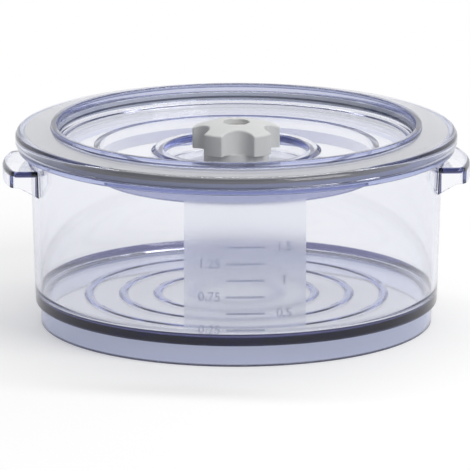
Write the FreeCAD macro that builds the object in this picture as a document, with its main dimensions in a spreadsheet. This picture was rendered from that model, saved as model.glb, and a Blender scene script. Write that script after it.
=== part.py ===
"""Vacuum seal canister: a clear bowl with two ears, and a clear lid with a rotary valve knob.

Millimetres, +Z up. The origin is the middle of the foot ring, the ears lie along X, and a
flute of the knob faces the front, -Y. Each piece is one body, named like its STEP file.
"""
import FreeCAD, Part
import math
import os

import Sketcher

# Driving dimensions: cell name, size, what it measures
DIMENSIONS = [
    # Bowl
    ("rim_dia", 215.2, "outer diameter of the rim flange, which the bowl and lid follow"),
    ("rim_reach", 6.2, "how far the rim flange stands out from the wall"),
    ("rim_thick", 2.8, "thickness of the rim flange"),
    ("rim_round", 0.8, "rounding of the rim flange and of the foot"),
    ("under_rim_round", 1.5, "fillet between the wall and the rim flange"),
    ("bowl_height", 89.8, "height of the rim's sealing face"),
    ("wall_thick", 2.6, "thickness of the bowl's wall"),
    ("wall_draft", 2.3, "how far the wall leans in from the rim down to the foot ring"),
    ("foot_step", 2.6, "how far the foot ring is set in from the wall"),
    ("foot_wall", 2.6, "thickness of the foot ring"),
    ("foot_height", 10.8, "foot ring, from the table to the underside of the floor"),
    ("floor_thick", 3.0, "thickness of the bowl's floor"),
    ("floor_round", 6.0, "fillet between the floor and the wall"),
    ("rib_inset", 23.8, "from the foot ring's outside to the middle of the outermost ring rib"),
    ("rib_inner_dia", 43.4, "mean diameter of the innermost ring rib on the floor"),
    ("rib_count", 4, "number of ring ribs"),
    ("rib_width", 4.6, "width of a ring rib at its foot"),
    ("rib_crest", 1.6, "width of a ring rib at its top"),
    ("rib_height", 0.4, "height of a ring rib"),
    # Ears
    ("ear_reach", 13.6, "how far an ear's tip stands out from the top of the wall"),
    ("ear_length", 51.0, "length of an ear along the rim"),
    ("ear_bow", 4.4, "how far an ear's outer edge bows out past its corners"),
    ("ear_drop", 9.0, "depth of an ear's top below the rim's sealing face"),
    ("ear_plate", 2.6, "thickness of an ear's top plate"),
    ("ear_wall", 2.5, "thickness of an ear's lip and gussets"),
    ("ear_lip", 8.0, "height of an ear's outer lip"),
    ("ear_root", 13.2, "height of an ear's gussets at the wall"),
    ("ear_flat", 8.1, "from an ear's tip in to where its gussets start to slope"),
    ("ear_corner", 5.0, "rounding of an ear's upright corners"),
    ("ear_edge", 1.8, "rounding of an ear's top edge"),
    # Lid
    ("lid_overhang", 1.0, "how far the lid stands out past the rim flange"),
    ("lid_gap", 0.4, "gap between the lid's outer wall and the rim flange"),
    ("lid_wall", 2.4, "thickness of the lid's walls and panel"),
    ("channel_wall", 4.6, "thickness of the lid's rim, outside the gasket's channel"),
    ("lid_edge", 5.7, "height of the lid's outer wall"),
    ("lid_edge_round", 5.0, "rounding of the lid's outer top edge"),
    ("ring_rise", 1.4, "rise of the lid's top ring from its outer to its inner edge"),
    ("ring_width", 17.6, "width of the lid's top ring, from its outside to the bead"),
    ("bead_width", 2.6, "width of the bead round the recess"),
    ("bead_height", 0.6, "height of the bead above the top ring"),
    ("recess_draft", 1.7, "how far the recess wall leans in over its depth"),
    ("recess_depth", 7.7, "depth of the recess at the panel's outer edge"),
    ("recess_round", 3.0, "fillet between the recess wall and the panel"),
    ("panel_dish", 4.8, "fall of the panel from its outer edge to the well"),
    ("lip_width", 6.2, "width of the raised lip round the well"),
    ("lip_height", 1.4, "height of that lip above the panel"),
    ("lip_flank", 1.8, "width of the lip's sloping outer flank"),
    ("lip_round", 0.9, "rounding of the lip's edges"),
    ("well_dia", 71.0, "diameter of the well at its top"),
    ("well_draft", 0.7, "how far the well's wall leans in over its depth"),
    ("well_depth", 8.2, "depth of the well below its lip"),
    ("well_floor", 2.0, "thickness of the well's floor"),
    ("well_round", 1.2, "fillet between the well's floor and wall"),
    ("skirt_inset", 18.4, "from the recess's top edge in to the locating skirt under the lid"),
    ("skirt_reach", 15.6, "reach of the skirt below the rim's sealing face"),
    ("skirt_wall", 2.4, "thickness of the skirt"),
    # Lid gasket
    ("gasket_gap", 0.15, "gap between the gasket and its channel in the lid"),
    ("gasket_lift", 0.7, "height of the gasket's sealing ridges"),
    ("ridge_width", 1.1, "width of a sealing ridge"),
    ("ridge_pitch", 2.2, "radial step between the two sealing ridges"),
    # Knob
    ("knob_dia", 43.2, "diameter over the knob's lobes"),
    ("knob_gap", 0.4, "gap between the knob's neck and the well's floor"),
    ("head_lift", 7.6, "height of the knob's head above the well's floor"),
    ("head_edge", 10.2, "height of the head at its lobes"),
    ("dome_rise", 3.2, "rise of the head's top from the lobes to the port"),
    ("dome_radius", 46.0, "radius of the head's domed top in section"),
    ("flute_count", 5, "number of flutes"),
    ("flute_dia", 16.4, "diameter of a flute"),
    ("flute_offset", 1.3, "how far a flute's axis lies outside the lobes"),
    ("knob_round", 0.9, "rounding of the head's edges"),
    ("neck_wall", 2.5, "thickness of the neck under the head, round the chamber"),
    ("cavity_dia", 27.0, "diameter of the chamber in the neck"),
    ("chamber_height", 1.6, "height of the air chamber over the rotor"),
    ("mouth_dia", 13.2, "diameter of the hose port's mouth"),
    ("mouth_depth", 2.0, "depth of that mouth, down to the grommet"),
    ("mouth_round", 0.6, "rounding of the mouth's edge"),
    # Grommet in the hose port
    ("port_dia", 12.4, "bore of the grommet, which takes the hose tip"),
    ("grommet_dia", 16.3, "outer diameter of the grommet"),
    ("grommet_length", 7.5, "length of the grommet"),
    ("press_gap", 0.05, "gap round a piece pushed into the knob"),
    # Rotor, its seat and its seal
    ("seat_thick", 1.5, "thickness of the seat gasket on the well's floor"),
    ("rotor_gap", 0.3, "gap between the rotor's disc and the chamber's wall"),
    ("rotor_thick", 2.9, "thickness of the rotor's disc"),
    ("seal_section", 1.25, "section diameter of the rotor's O-ring"),
    ("seal_slack", 0.05, "slack of the O-ring in its groove"),
    ("hub_bore", 8.0, "air passage through the rotor's hub"),
    ("window_width", 4.0, "width of the two windows in the hub"),
    ("port_inset", 3.5, "from the chamber's wall in to the middle of the valve's ports"),
    ("air_hole", 3.0, "diameter of the valve's ports"),
    ("key_width", 3.0, "width of the two keys that turn the rotor with the knob"),
    ("key_depth", 2.0, "length of a key across the rotor"),
    ("key_reach", 1.6, "reach of a key into the knob above the chamber"),
    ("key_gap", 0.1, "gap round a key"),
    ("stem_dia", 9.2, "diameter of the rotor's stem"),
    ("stem_gap", 0.05, "running gap round the stem"),
    ("stem_tail", 0.6, "length of the stem below the clip"),
    # Pieces under the lid that hold the stem
    ("washer_dia", 18.0, "outer diameter of the slip washer"),
    ("washer_thick", 0.6, "thickness of the slip washer"),
    ("spring_dia", 15.6, "outer diameter of the cupped spring"),
    ("spring_plate", 0.4, "thickness of the spring's plate"),
    ("spring_cup", 0.6, "height that the spring is cupped"),
    ("clip_dia", 14.0, "outer diameter of the stem clip"),
    ("clip_thick", 0.7, "thickness of the stem clip"),
    ("clip_groove", 1.1, "depth of the clip's groove in the stem"),
    ("clip_gap", 0.05, "gap round the clip in its groove"),
    ("overrun", 2.0, "how far a cut runs past the face that it opens"),
]

# How closely an edge must lie to the place where it is looked for
TOLERANCE = 0.0001

# What a sketch calls the points of a curve, its own origin and its two axes
START, END, CENTRE = 1, 2, 3
ORIGIN = (-1, START)
ACROSS, UPWARD = -1, -2

# Angles, in degrees
FULL_TURN = 360.0
LID_PORT_ANGLE = 90.0
VALVE_STEP = 45.0
CLIP_OPENING = 80.0

doc = FreeCAD.newDocument("vacuum_canister")
sheet = doc.addObject("Spreadsheet::Sheet", "Dim")
for row, (alias, size, meaning) in enumerate(DIMENSIONS, start=1):
    sheet.set(f"A{row}", meaning)
    sheet.set(f"B{row}", str(size))
    sheet.setAlias(f"B{row}", alias)
doc.recompute()


def half(alias):
    """Expression for the radius that belongs to a diameter in the sheet."""
    return f"Dim.{alias} / 2"


def value(expression):
    """Present value of an expression, in millimetres."""
    return float(sheet.evalExpression(expression))


# Levels, from the table up
FLOOR_TOP = "(Dim.foot_height + Dim.floor_thick)"
RIM_UNDER = "(Dim.bowl_height - Dim.rim_thick)"
EAR_TOP = "(Dim.bowl_height - Dim.ear_drop)"
LID_FOOT = "(Dim.bowl_height + Dim.lid_gap)"
LID_SHOULDER = f"({LID_FOOT} + Dim.lid_edge)"
BEAD_FOOT = f"({LID_SHOULDER} + Dim.ring_rise)"
BEAD_TOP = f"({BEAD_FOOT} + Dim.bead_height)"
PANEL_EDGE = f"({BEAD_TOP} - Dim.recess_depth)"
PANEL_INNER = f"({PANEL_EDGE} - Dim.panel_dish)"
LIP_TOP = f"({PANEL_INNER} + Dim.lip_height)"
WELL_TOP = f"({LIP_TOP} - Dim.well_depth)"
WELL_UNDER = f"({WELL_TOP} - Dim.well_floor)"
SKIRT_FOOT = "(Dim.bowl_height - Dim.skirt_reach)"
HEAD_UNDER = f"({WELL_TOP} + Dim.head_lift)"
HEAD_SHOULDER = f"({HEAD_UNDER} + Dim.head_edge)"
HEAD_TOP = f"({HEAD_SHOULDER} + Dim.dome_rise)"
NECK_FOOT = f"({WELL_TOP} + Dim.knob_gap)"
SEAT_TOP = f"({WELL_TOP} + Dim.seat_thick)"
ROTOR_TOP = f"({SEAT_TOP} + Dim.rotor_thick)"
CHAMBER_TOP = f"({ROTOR_TOP} + Dim.chamber_height)"
GROMMET_TOP = f"({HEAD_TOP} - Dim.mouth_depth)"
GROMMET_FOOT = f"({GROMMET_TOP} - Dim.grommet_length)"
WASHER_FOOT = f"({WELL_UNDER} - Dim.washer_thick)"
SPRING_FOOT = f"({WASHER_FOOT} - Dim.spring_cup - Dim.spring_plate)"
CLIP_FOOT = f"({SPRING_FOOT} - Dim.clip_thick)"
STEM_FOOT = f"({CLIP_FOOT} - Dim.clip_gap - Dim.stem_tail)"

# Radii that several pieces share
RIM = f"({half('rim_dia')})"
WALL_TOP = f"({RIM} - Dim.rim_reach)"
WALL_BASE = f"({WALL_TOP} - Dim.wall_draft)"
WALL_LEAN = f"(Dim.wall_draft / ({RIM_UNDER} - Dim.foot_height))"
FOOT = f"({WALL_BASE} - Dim.foot_step)"
FOOT_INSIDE = f"({FOOT} - Dim.foot_wall)"
EAR_TIP = f"({WALL_TOP} + Dim.ear_reach)"
EAR_SHOULDER = f"({EAR_TIP} - Dim.ear_flat)"
EAR_RADIUS = "(((Dim.ear_length / 2) ^ 2 + Dim.ear_bow ^ 2) / (2 * Dim.ear_bow))"
LID_EDGE = f"({RIM} + Dim.lid_overhang)"
BEAD_EDGE = f"({LID_EDGE} - Dim.ring_width)"
RECESS = f"({BEAD_EDGE} - Dim.bead_width)"
SKIRT = f"({RECESS} - Dim.skirt_inset)"
LIP_EDGE = f"({half('well_dia')} + Dim.lip_width)"
CHANNEL_OUTER = f"({LID_EDGE} - Dim.channel_wall)"
CHANNEL_INNER = f"({RECESS} + Dim.lid_wall)"
FLUTE_AXIS = f"({half('knob_dia')} + Dim.flute_offset)"
NECK = f"({half('cavity_dia')} + Dim.neck_wall)"
PORT_CIRCLE = f"({half('cavity_dia')} - Dim.port_inset)"
SEAL_CORE = f"({half('cavity_dia')} - Dim.seal_section - Dim.seal_slack)"
ROTOR_RADIUS = f"({half('cavity_dia')} - Dim.rotor_gap)"
SOCKET_RADIUS = f"({half('grommet_dia')} + Dim.press_gap)"
STEM_HOLE = f"({half('stem_dia')} + Dim.stem_gap)"
CLIP_CORE = f"({half('stem_dia')} - Dim.clip_groove)"


def wall_radius(level):
    """Expression for the wall's outer radius at a level."""
    return f"({WALL_BASE} + {WALL_LEAN} * ({level} - Dim.foot_height))"


def ring_under(radius):
    """Expression for the level of the top ring's underside at a radius of the lid."""
    rise = f"Dim.ring_rise * ({LID_EDGE} - {radius}) / Dim.ring_width"
    return f"({LID_SHOULDER} + {rise} - Dim.lid_wall)"


def new_body(label):
    """A body named like the piece it holds."""
    body = doc.addObject("PartDesign::Body", label)
    body.Label = label
    return body


def new_sketch(body, name, role, lift="0"):
    """A sketch on one of the body's origin planes, lifted along that plane's normal."""
    sketch = body.newObject("Sketcher::SketchObject", name)
    plane = next(item for item in body.Origin.OriginFeatures if item.Role == role)
    sketch.AttachmentSupport = (plane, [""])
    sketch.MapMode = "FlatFace"
    sketch.setExpression("AttachmentOffset.Base.z", lift)
    doc.recompute()
    return sketch


def arc_between(start, end, radius):
    """The anticlockwise arc of under half a turn from start to end."""
    chord = end - start
    middle = (start + end) / 2
    reach = math.sqrt(radius ** 2 - (chord.Length / 2) ** 2)
    inward = FreeCAD.Vector(-chord.y, chord.x, 0).normalize()
    centre = middle + inward * reach
    first, last = (math.atan2(p.y - centre.y, p.x - centre.x) for p in (start, end))
    circle = Part.Circle(centre, FreeCAD.Vector(0, 0, 1), radius)
    return Part.ArcOfCircle(circle, first, last)


def pin(sketch, geometry, corner, x, y):
    """Bind one sketch point to a pair of expressions, measured from the sketch's origin."""
    for kind, axis, expression in (("DistanceX", UPWARD, x), ("DistanceY", ACROSS, y)):
        if expression == "0":
            sketch.addConstraint(Sketcher.Constraint("PointOnObject", geometry, corner, axis))
            continue
        rule = Sketcher.Constraint(kind, *ORIGIN, geometry, corner, value(expression))
        sketch.setExpression(f"Constraints[{sketch.addConstraint(rule)}]", expression)


def outline(sketch, points, bulges=None):
    """Draw a closed anticlockwise outline through points that are pairs of expressions.

    An edge is straight unless bulges gives the expression of its radius, keyed by its first
    point: it is then an arc that swells outwards.
    """
    bulges = bulges or {}
    places = [FreeCAD.Vector(value(x), value(y), 0) for x, y in points]
    first = sketch.GeometryCount
    for index, start in enumerate(places):
        end = places[(index + 1) % len(places)]
        if index in bulges:
            sketch.addGeometry(arc_between(start, end, value(bulges[index])), False)
        else:
            sketch.addGeometry(Part.LineSegment(start, end), False)
    for index, (x, y) in enumerate(points):
        following = (index + 1) % len(points)
        sketch.addConstraint(Sketcher.Constraint(
            "Coincident", first + index, END, first + following, START))
        pin(sketch, first + index, START, x, y)
    for index, radius in bulges.items():
        rule = Sketcher.Constraint("Radius", first + index, value(radius))
        sketch.setExpression(f"Constraints[{sketch.addConstraint(rule)}]", radius)
    doc.recompute()
    return sketch


def ring(sketch, radius, x="0", y="0"):
    """Draw a circle about a point that is a pair of expressions."""
    centre = FreeCAD.Vector(value(x), value(y), 0)
    circle = Part.Circle(centre, FreeCAD.Vector(0, 0, 1), value(radius))
    geometry = sketch.addGeometry(circle, False)
    pin(sketch, geometry, CENTRE, x, y)
    rule = Sketcher.Constraint("Radius", geometry, value(radius))
    sketch.setExpression(f"Constraints[{sketch.addConstraint(rule)}]", radius)
    doc.recompute()
    return sketch


def turned(body, kind, name, points, angle=FULL_TURN, **arcs):
    """Turn a section, drawn in the XZ plane, about Z as a Revolution or a Groove."""
    sketch = outline(new_sketch(body, f"{name}_section", "XZ_Plane"), points, **arcs)
    feature = body.newObject(f"PartDesign::{kind}", name)
    feature.Profile = sketch
    feature.ReferenceAxis = (sketch, ["V_Axis"])
    feature.Angle = angle
    doc.recompute()
    return feature


def raised(body, kind, name, sketch, length, both_sides=False, turn_round=False):
    """Raise a sketch as a Pad, or sink it as a Pocket, by a length."""
    before = body.Tip.Shape.Volume if body.Tip and body.Tip.Shape.Solids else 0
    feature = body.newObject(f"PartDesign::{kind}", name)
    feature.Profile = sketch
    feature.Reversed = turn_round
    if both_sides:
        feature.SideType = "Symmetric"
    feature.setExpression("Length", length)
    doc.recompute()
    grown = feature.Shape.Volume - before
    if (grown > 0) != (kind == "Pad"):
        raise RuntimeError(f"{name} points away from its solid")
    return feature


def repeated(body, name, originals, count):
    """Repeat features evenly round Z."""
    pattern = body.newObject("PartDesign::PolarPattern", name)
    pattern.Originals = originals
    axis = next(item for item in body.Origin.OriginFeatures if item.Role == "Z_Axis")
    pattern.Axis = (axis, [""])
    pattern.Angle = FULL_TURN
    pattern.setExpression("Occurrences", count)
    body.Tip = pattern
    doc.recompute()
    return pattern


def rounded(body, name, radius, chosen):
    """Round the edges of the body so far for which chosen(edge) is true."""
    base = body.Tip
    edges = [f"Edge{n}" for n, edge in enumerate(base.Shape.Edges, start=1) if chosen(edge)]
    if not edges:
        raise RuntimeError(f"{name} finds no edge")
    fillet = body.newObject("PartDesign::Fillet", name)
    fillet.Base = (base, edges)
    fillet.setExpression("Radius", radius)
    doc.recompute()
    return fillet


def near(one, other):
    """Whether two sizes agree to within the modelling tolerance."""
    return math.isclose(one, other, abs_tol=TOLERANCE)


def circles(*places):
    """A test for whole circles about Z with the given pairs of radius and level."""
    wanted = [(value(radius), value(level)) for radius, level in places]

    def test(edge):
        if not isinstance(edge.Curve, Part.Circle):
            return False
        centre = edge.Curve.Center
        if not near(math.hypot(centre.x, centre.y), 0):
            return False
        return any(near(edge.Curve.Radius, radius) and near(centre.z, level)
                   for radius, level in wanted)

    return test


def make_bowl():
    """The bowl: foot ring, leaning wall, rim flange, two hollow ears and a ribbed floor."""
    bowl = new_body("bowl")
    add_ears(bowl)
    turned(bowl, "Revolution", "bowl_blank", [
        ("0", "0"),
        (FOOT, "0"),
        (FOOT, "Dim.foot_height"),
        (WALL_BASE, "Dim.foot_height"),
        (WALL_TOP, RIM_UNDER),
        (RIM, RIM_UNDER),
        (RIM, "Dim.bowl_height"),
        ("0", "Dim.bowl_height")])
    round_ears(bowl)
    hollow_bowl(bowl)
    mouth = f"({wall_radius('Dim.bowl_height')} - Dim.wall_thick)"
    rounded(bowl, "floor_fillet", "Dim.floor_round", circles(
        (f"{wall_radius(FLOOR_TOP)} - Dim.wall_thick", FLOOR_TOP)))
    rounded(bowl, "edge_fillets", "Dim.rim_round", circles(
        (FOOT, "0"), (FOOT_INSIDE, "0"), (WALL_BASE, "Dim.foot_height"),
        (mouth, "Dim.bowl_height"), (RIM, RIM_UNDER), (RIM, "Dim.bowl_height")))
    rounded(bowl, "under_rim_fillet", "Dim.under_rim_round", circles(
        (WALL_TOP, RIM_UNDER)))
    return bowl


def ear_outline(sketch, inset):
    """Draw the right ear's plan, set in all round, from inside the bowl out to its bowed edge."""
    side = f"(Dim.ear_length / 2 - {inset})"
    radius = f"({EAR_RADIUS} - {inset})"
    corner = f"(Dim.ear_corner - {inset})"
    buried = f"{WALL_BASE} - Dim.ear_length / 2"
    bow_middle = f"({EAR_TIP} - {EAR_RADIUS})"
    turn = f"({EAR_RADIUS} - Dim.ear_corner)"
    corner_y = "(Dim.ear_length / 2 - Dim.ear_corner)"
    corner_x = f"sqrt({turn} ^ 2 - {corner_y} ^ 2)"
    straight = f"{bow_middle} + {corner_x}"
    bow_x = f"{bow_middle} + {corner_x} * {radius} / {turn}"
    bow_y = f"{corner_y} * {radius} / {turn}"
    return outline(
        sketch,
        [(buried, f"-{side}"), (straight, f"-{side}"), (bow_x, f"-({bow_y})"),
         (bow_x, bow_y), (straight, side), (buried, side)],
        bulges={1: corner, 2: radius, 3: corner})


def add_ears(bowl):
    """Two ears: a bowed plate with a lip and two sloping gussets, hollow from below."""
    plan = ear_outline(new_sketch(bowl, "ear_plan", "XY_Plane", EAR_TOP), "0")
    block = raised(bowl, "Pad", "ear_block", plan, "Dim.ear_root", turn_round=True)

    gusset_foot = f"sqrt({WALL_TOP} ^ 2 - (Dim.ear_length / 2) ^ 2)"
    past_tip = f"{EAR_TIP} + Dim.overrun"
    below = f"{EAR_TOP} - Dim.ear_root - Dim.overrun"
    slope = outline(new_sketch(bowl, "gusset_slope", "XZ_Plane"), [
        (gusset_foot, below), (past_tip, below),
        (past_tip, f"{EAR_TOP} - Dim.ear_lip"),
        (EAR_SHOULDER, f"{EAR_TOP} - Dim.ear_lip"),
        (gusset_foot, f"{EAR_TOP} - Dim.ear_root")])
    slant = raised(bowl, "Pocket", "gusset_slant", slope,
                   "Dim.ear_length + Dim.overrun", both_sides=True)

    hollow_plan = ear_outline(
        new_sketch(bowl, "ear_hollow_plan", "XY_Plane", f"{EAR_TOP} - Dim.ear_plate"), "Dim.ear_wall")
    hollow = raised(bowl, "Pocket", "ear_hollow", hollow_plan, "Dim.ear_root")

    mirror = bowl.newObject("PartDesign::Mirrored", "both_ears")
    mirror.Originals = [block, slant, hollow]
    plane = next(item for item in bowl.Origin.OriginFeatures if item.Role == "YZ_Plane")
    mirror.MirrorPlane = (plane, [""])
    bowl.Tip = mirror
    doc.recompute()


def round_ears(bowl):
    """Round the top edge of both ears, from wall to wall."""
    top, wall = value(EAR_TOP), value(wall_radius(EAR_TOP))

    def top_edge(edge):
        box = edge.BoundBox
        ends = [math.hypot(end.X, end.Y) for end in edge.Vertexes]
        return near(box.ZMin, top) and near(box.ZMax, top) and max(ends) > wall + TOLERANCE

    rounded(bowl, "ear_edges", "Dim.ear_edge", top_edge)


def hollow_bowl(bowl):
    """Cut the food space, which leaves ring ribs on the floor, and the hollow under the floor."""
    rib_top = f"({FLOOR_TOP} + Dim.rib_height)"
    rib_inner = half("rib_inner_dia")
    rib_pitch = f"(({FOOT} - Dim.rib_inset - {rib_inner}) / (Dim.rib_count - 1))"
    mouth = "(Dim.bowl_height + Dim.overrun)"
    section = [("0", mouth), ("0", FLOOR_TOP)]
    for number in range(round(value("Dim.rib_count"))):
        middle = f"({rib_inner} + {number} * {rib_pitch})"
        section += [
            (f"{middle} - Dim.rib_width / 2", FLOOR_TOP),
            (f"{middle} - Dim.rib_crest / 2", rib_top),
            (f"{middle} + Dim.rib_crest / 2", rib_top),
            (f"{middle} + Dim.rib_width / 2", FLOOR_TOP)]
    section += [
        (f"{wall_radius(FLOOR_TOP)} - Dim.wall_thick", FLOOR_TOP),
        (f"{wall_radius(mouth)} - Dim.wall_thick", mouth)]
    turned(bowl, "Groove", "food_space", section)
    turned(bowl, "Groove", "foot_hollow", [
        ("0", "-Dim.overrun"), (FOOT_INSIDE, "-Dim.overrun"),
        (FOOT_INSIDE, "Dim.foot_height"), ("0", "Dim.foot_height")])


def make_lid():
    """The lid: outer wall, gasket channel, recess, dished panel, knob well and skirt."""
    lid = new_body("lid")
    recess_foot = f"({RECESS} - Dim.recess_draft)"
    well_foot = f"({half('well_dia')} - Dim.well_draft)"
    fall = f"(Dim.panel_dish / ({recess_foot} - {LIP_EDGE}))"

    def panel_under(radius):
        return f"({PANEL_INNER} - Dim.lid_wall + {fall} * ({radius} - {LIP_EDGE}))"

    skirt_inner = f"({SKIRT} - Dim.skirt_wall)"
    well_outside = f"({half('well_dia')} + Dim.lid_wall)"
    recess_outside = f"({recess_foot} + Dim.lid_wall)"
    turned(lid, "Revolution", "lid_shell", [
        (STEM_HOLE, WELL_UNDER),
        (f"{well_foot} + Dim.lid_wall", WELL_UNDER),
        (well_outside, panel_under(well_outside)),
        (skirt_inner, panel_under(skirt_inner)),
        (skirt_inner, SKIRT_FOOT),
        (SKIRT, SKIRT_FOOT),
        (SKIRT, panel_under(SKIRT)),
        (recess_outside, panel_under(recess_outside)),
        (CHANNEL_INNER, ring_under(CHANNEL_INNER)),
        (CHANNEL_OUTER, ring_under(CHANNEL_OUTER)),
        (CHANNEL_OUTER, LID_FOOT),
        (LID_EDGE, LID_FOOT),
        (LID_EDGE, LID_SHOULDER),
        (BEAD_EDGE, BEAD_FOOT),
        (BEAD_EDGE, BEAD_TOP),
        (RECESS, BEAD_TOP),
        (recess_foot, PANEL_EDGE),
        (LIP_EDGE, PANEL_INNER),
        (f"{LIP_EDGE} - Dim.lip_flank", LIP_TOP),
        (half("well_dia"), LIP_TOP),
        (well_foot, WELL_TOP),
        (STEM_HOLE, WELL_TOP)])
    rounded(lid, "recess_fillet", "Dim.recess_round", circles((recess_foot, PANEL_EDGE)))
    rounded(lid, "edge_fillet", "Dim.lid_edge_round", circles((LID_EDGE, LID_SHOULDER)))
    rounded(lid, "well_fillet", "Dim.well_round", circles((well_foot, WELL_TOP)))
    rounded(lid, "lip_fillets", "Dim.lip_round", circles(
        (half("well_dia"), LIP_TOP), (f"{LIP_EDGE} - Dim.lip_flank", LIP_TOP)))
    rounded(lid, "bead_fillets", "Dim.rim_round", circles(
        (RECESS, BEAD_TOP), (SKIRT, SKIRT_FOOT), (skirt_inner, SKIRT_FOOT)))
    drill(lid, "lid_port", "Dim.air_hole / 2", LID_PORT_ANGLE, WELL_TOP, "Dim.well_floor")
    return lid


def drill(body, name, radius, angle, top, depth):
    """Drill a valve port down through a plate, at an angle round the circle of the ports."""
    x = f"{PORT_CIRCLE} * cos({angle} deg)"
    y = f"{PORT_CIRCLE} * sin({angle} deg)"
    plan = ring(new_sketch(body, f"{name}_plan", "XY_Plane", f"{top} + Dim.overrun"), radius, x, y)
    return raised(body, "Pocket", name, plan, f"{depth} + 2 * Dim.overrun")


def make_lid_gasket():
    """The silicone ring in the lid's channel, with two ridges that bear on the rim."""
    gasket = new_body("lid_gasket")
    inner = f"({CHANNEL_INNER} + Dim.gasket_gap)"
    outer = f"({CHANNEL_OUTER} - Dim.gasket_gap)"
    base = "(Dim.bowl_height + Dim.gasket_lift)"
    mouth = f"({wall_radius('Dim.bowl_height')} - Dim.wall_thick + Dim.rim_round)"
    section = [(inner, f"{ring_under(inner)} - Dim.gasket_gap"), (inner, base)]
    for number in range(2):
        near_edge = f"({mouth} + {number} * Dim.ridge_pitch + Dim.ridge_width / 2)"
        far_edge = f"({near_edge} + Dim.ridge_width)"
        section += [(near_edge, base), (near_edge, "Dim.bowl_height"),
                    (far_edge, "Dim.bowl_height"), (far_edge, base)]
    section += [(outer, base), (outer, f"{ring_under(outer)} - Dim.gasket_gap")]
    turned(gasket, "Revolution", "gasket_ring", section)
    return gasket


def make_knob():
    """The knob: a domed head with flutes, on a hollow neck, with the hose port on its axis."""
    knob = new_body("knob")
    turned(knob, "Revolution", "knob_blank", [
        ("0", NECK_FOOT),
        (NECK, NECK_FOOT),
        (NECK, HEAD_UNDER),
        (half("knob_dia"), HEAD_UNDER),
        (half("knob_dia"), HEAD_SHOULDER),
        (half("mouth_dia"), HEAD_TOP),
        ("0", HEAD_TOP)], bulges={4: "Dim.dome_radius"})
    plan = ring(new_sketch(knob, "flute_plan", "XY_Plane", f"{HEAD_TOP} + Dim.overrun"),
                half("flute_dia"), "0", f"-{FLUTE_AXIS}")
    flute = raised(knob, "Pocket", "flute", plan, f"{HEAD_TOP} - {HEAD_UNDER} + Dim.overrun")
    repeated(knob, "flutes", [flute], "Dim.flute_count")
    head_middle = (value(HEAD_UNDER) + value(HEAD_SHOULDER)) / 2
    flute_floor = value(f"{FLUTE_AXIS} - {half('flute_dia')}")

    def lobe_edge(edge):
        return isinstance(edge.Curve, Part.Line) and near(edge.BoundBox.XLength, 0)

    def crown_edge(edge):
        ends = edge.Vertexes
        return (all(end.Z > head_middle for end in ends)
                and all(math.hypot(end.X, end.Y) > flute_floor for end in ends))

    rounded(knob, "lobe_fillets", "Dim.knob_round", lobe_edge)
    rounded(knob, "crown_fillets", "Dim.knob_round", crown_edge)
    turned(knob, "Groove", "knob_bores", [
        ("0", f"{NECK_FOOT} - Dim.overrun"),
        (half("cavity_dia"), f"{NECK_FOOT} - Dim.overrun"),
        (half("cavity_dia"), CHAMBER_TOP),
        (SOCKET_RADIUS, CHAMBER_TOP),
        (SOCKET_RADIUS, GROMMET_TOP),
        (half("mouth_dia"), GROMMET_TOP),
        (half("mouth_dia"), f"{HEAD_TOP} + Dim.overrun"),
        ("0", f"{HEAD_TOP} + Dim.overrun")])
    rounded(knob, "mouth_fillet", "Dim.mouth_round", circles((half("mouth_dia"), HEAD_TOP)))
    slots = key_plan(knob, "key_slots", CHAMBER_TOP, "Dim.key_gap")
    raised(knob, "Pocket", "key_slot_pair", slots, "Dim.key_reach + Dim.key_gap", turn_round=True)
    return knob


def key_plan(body, name, level, gap):
    """Sketch of the two keys across the rotor, grown by a gap."""
    reach = f"(Dim.key_depth / 2 + {gap})"
    side = f"(Dim.key_width / 2 + {gap})"
    sketch = new_sketch(body, name, "XY_Plane", level)
    for sign in ("", "-"):
        inner, outer = f"{sign}({PORT_CIRCLE} - {reach})", f"{sign}({PORT_CIRCLE} + {reach})"
        low, high = (f"-{side}", side) if not sign else (side, f"-{side}")
        outline(sketch, [(low, inner), (high, inner), (high, outer), (low, outer)])
    return sketch


def make_port_grommet():
    """The silicone grommet that seals a hose tip in the knob's port."""
    grommet = new_body("port_grommet")
    turned(grommet, "Revolution", "grommet_ring", [
        (half("port_dia"), GROMMET_FOOT), (half("grommet_dia"), GROMMET_FOOT),
        (half("grommet_dia"), GROMMET_TOP), (half("port_dia"), GROMMET_TOP)])
    return grommet


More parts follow.
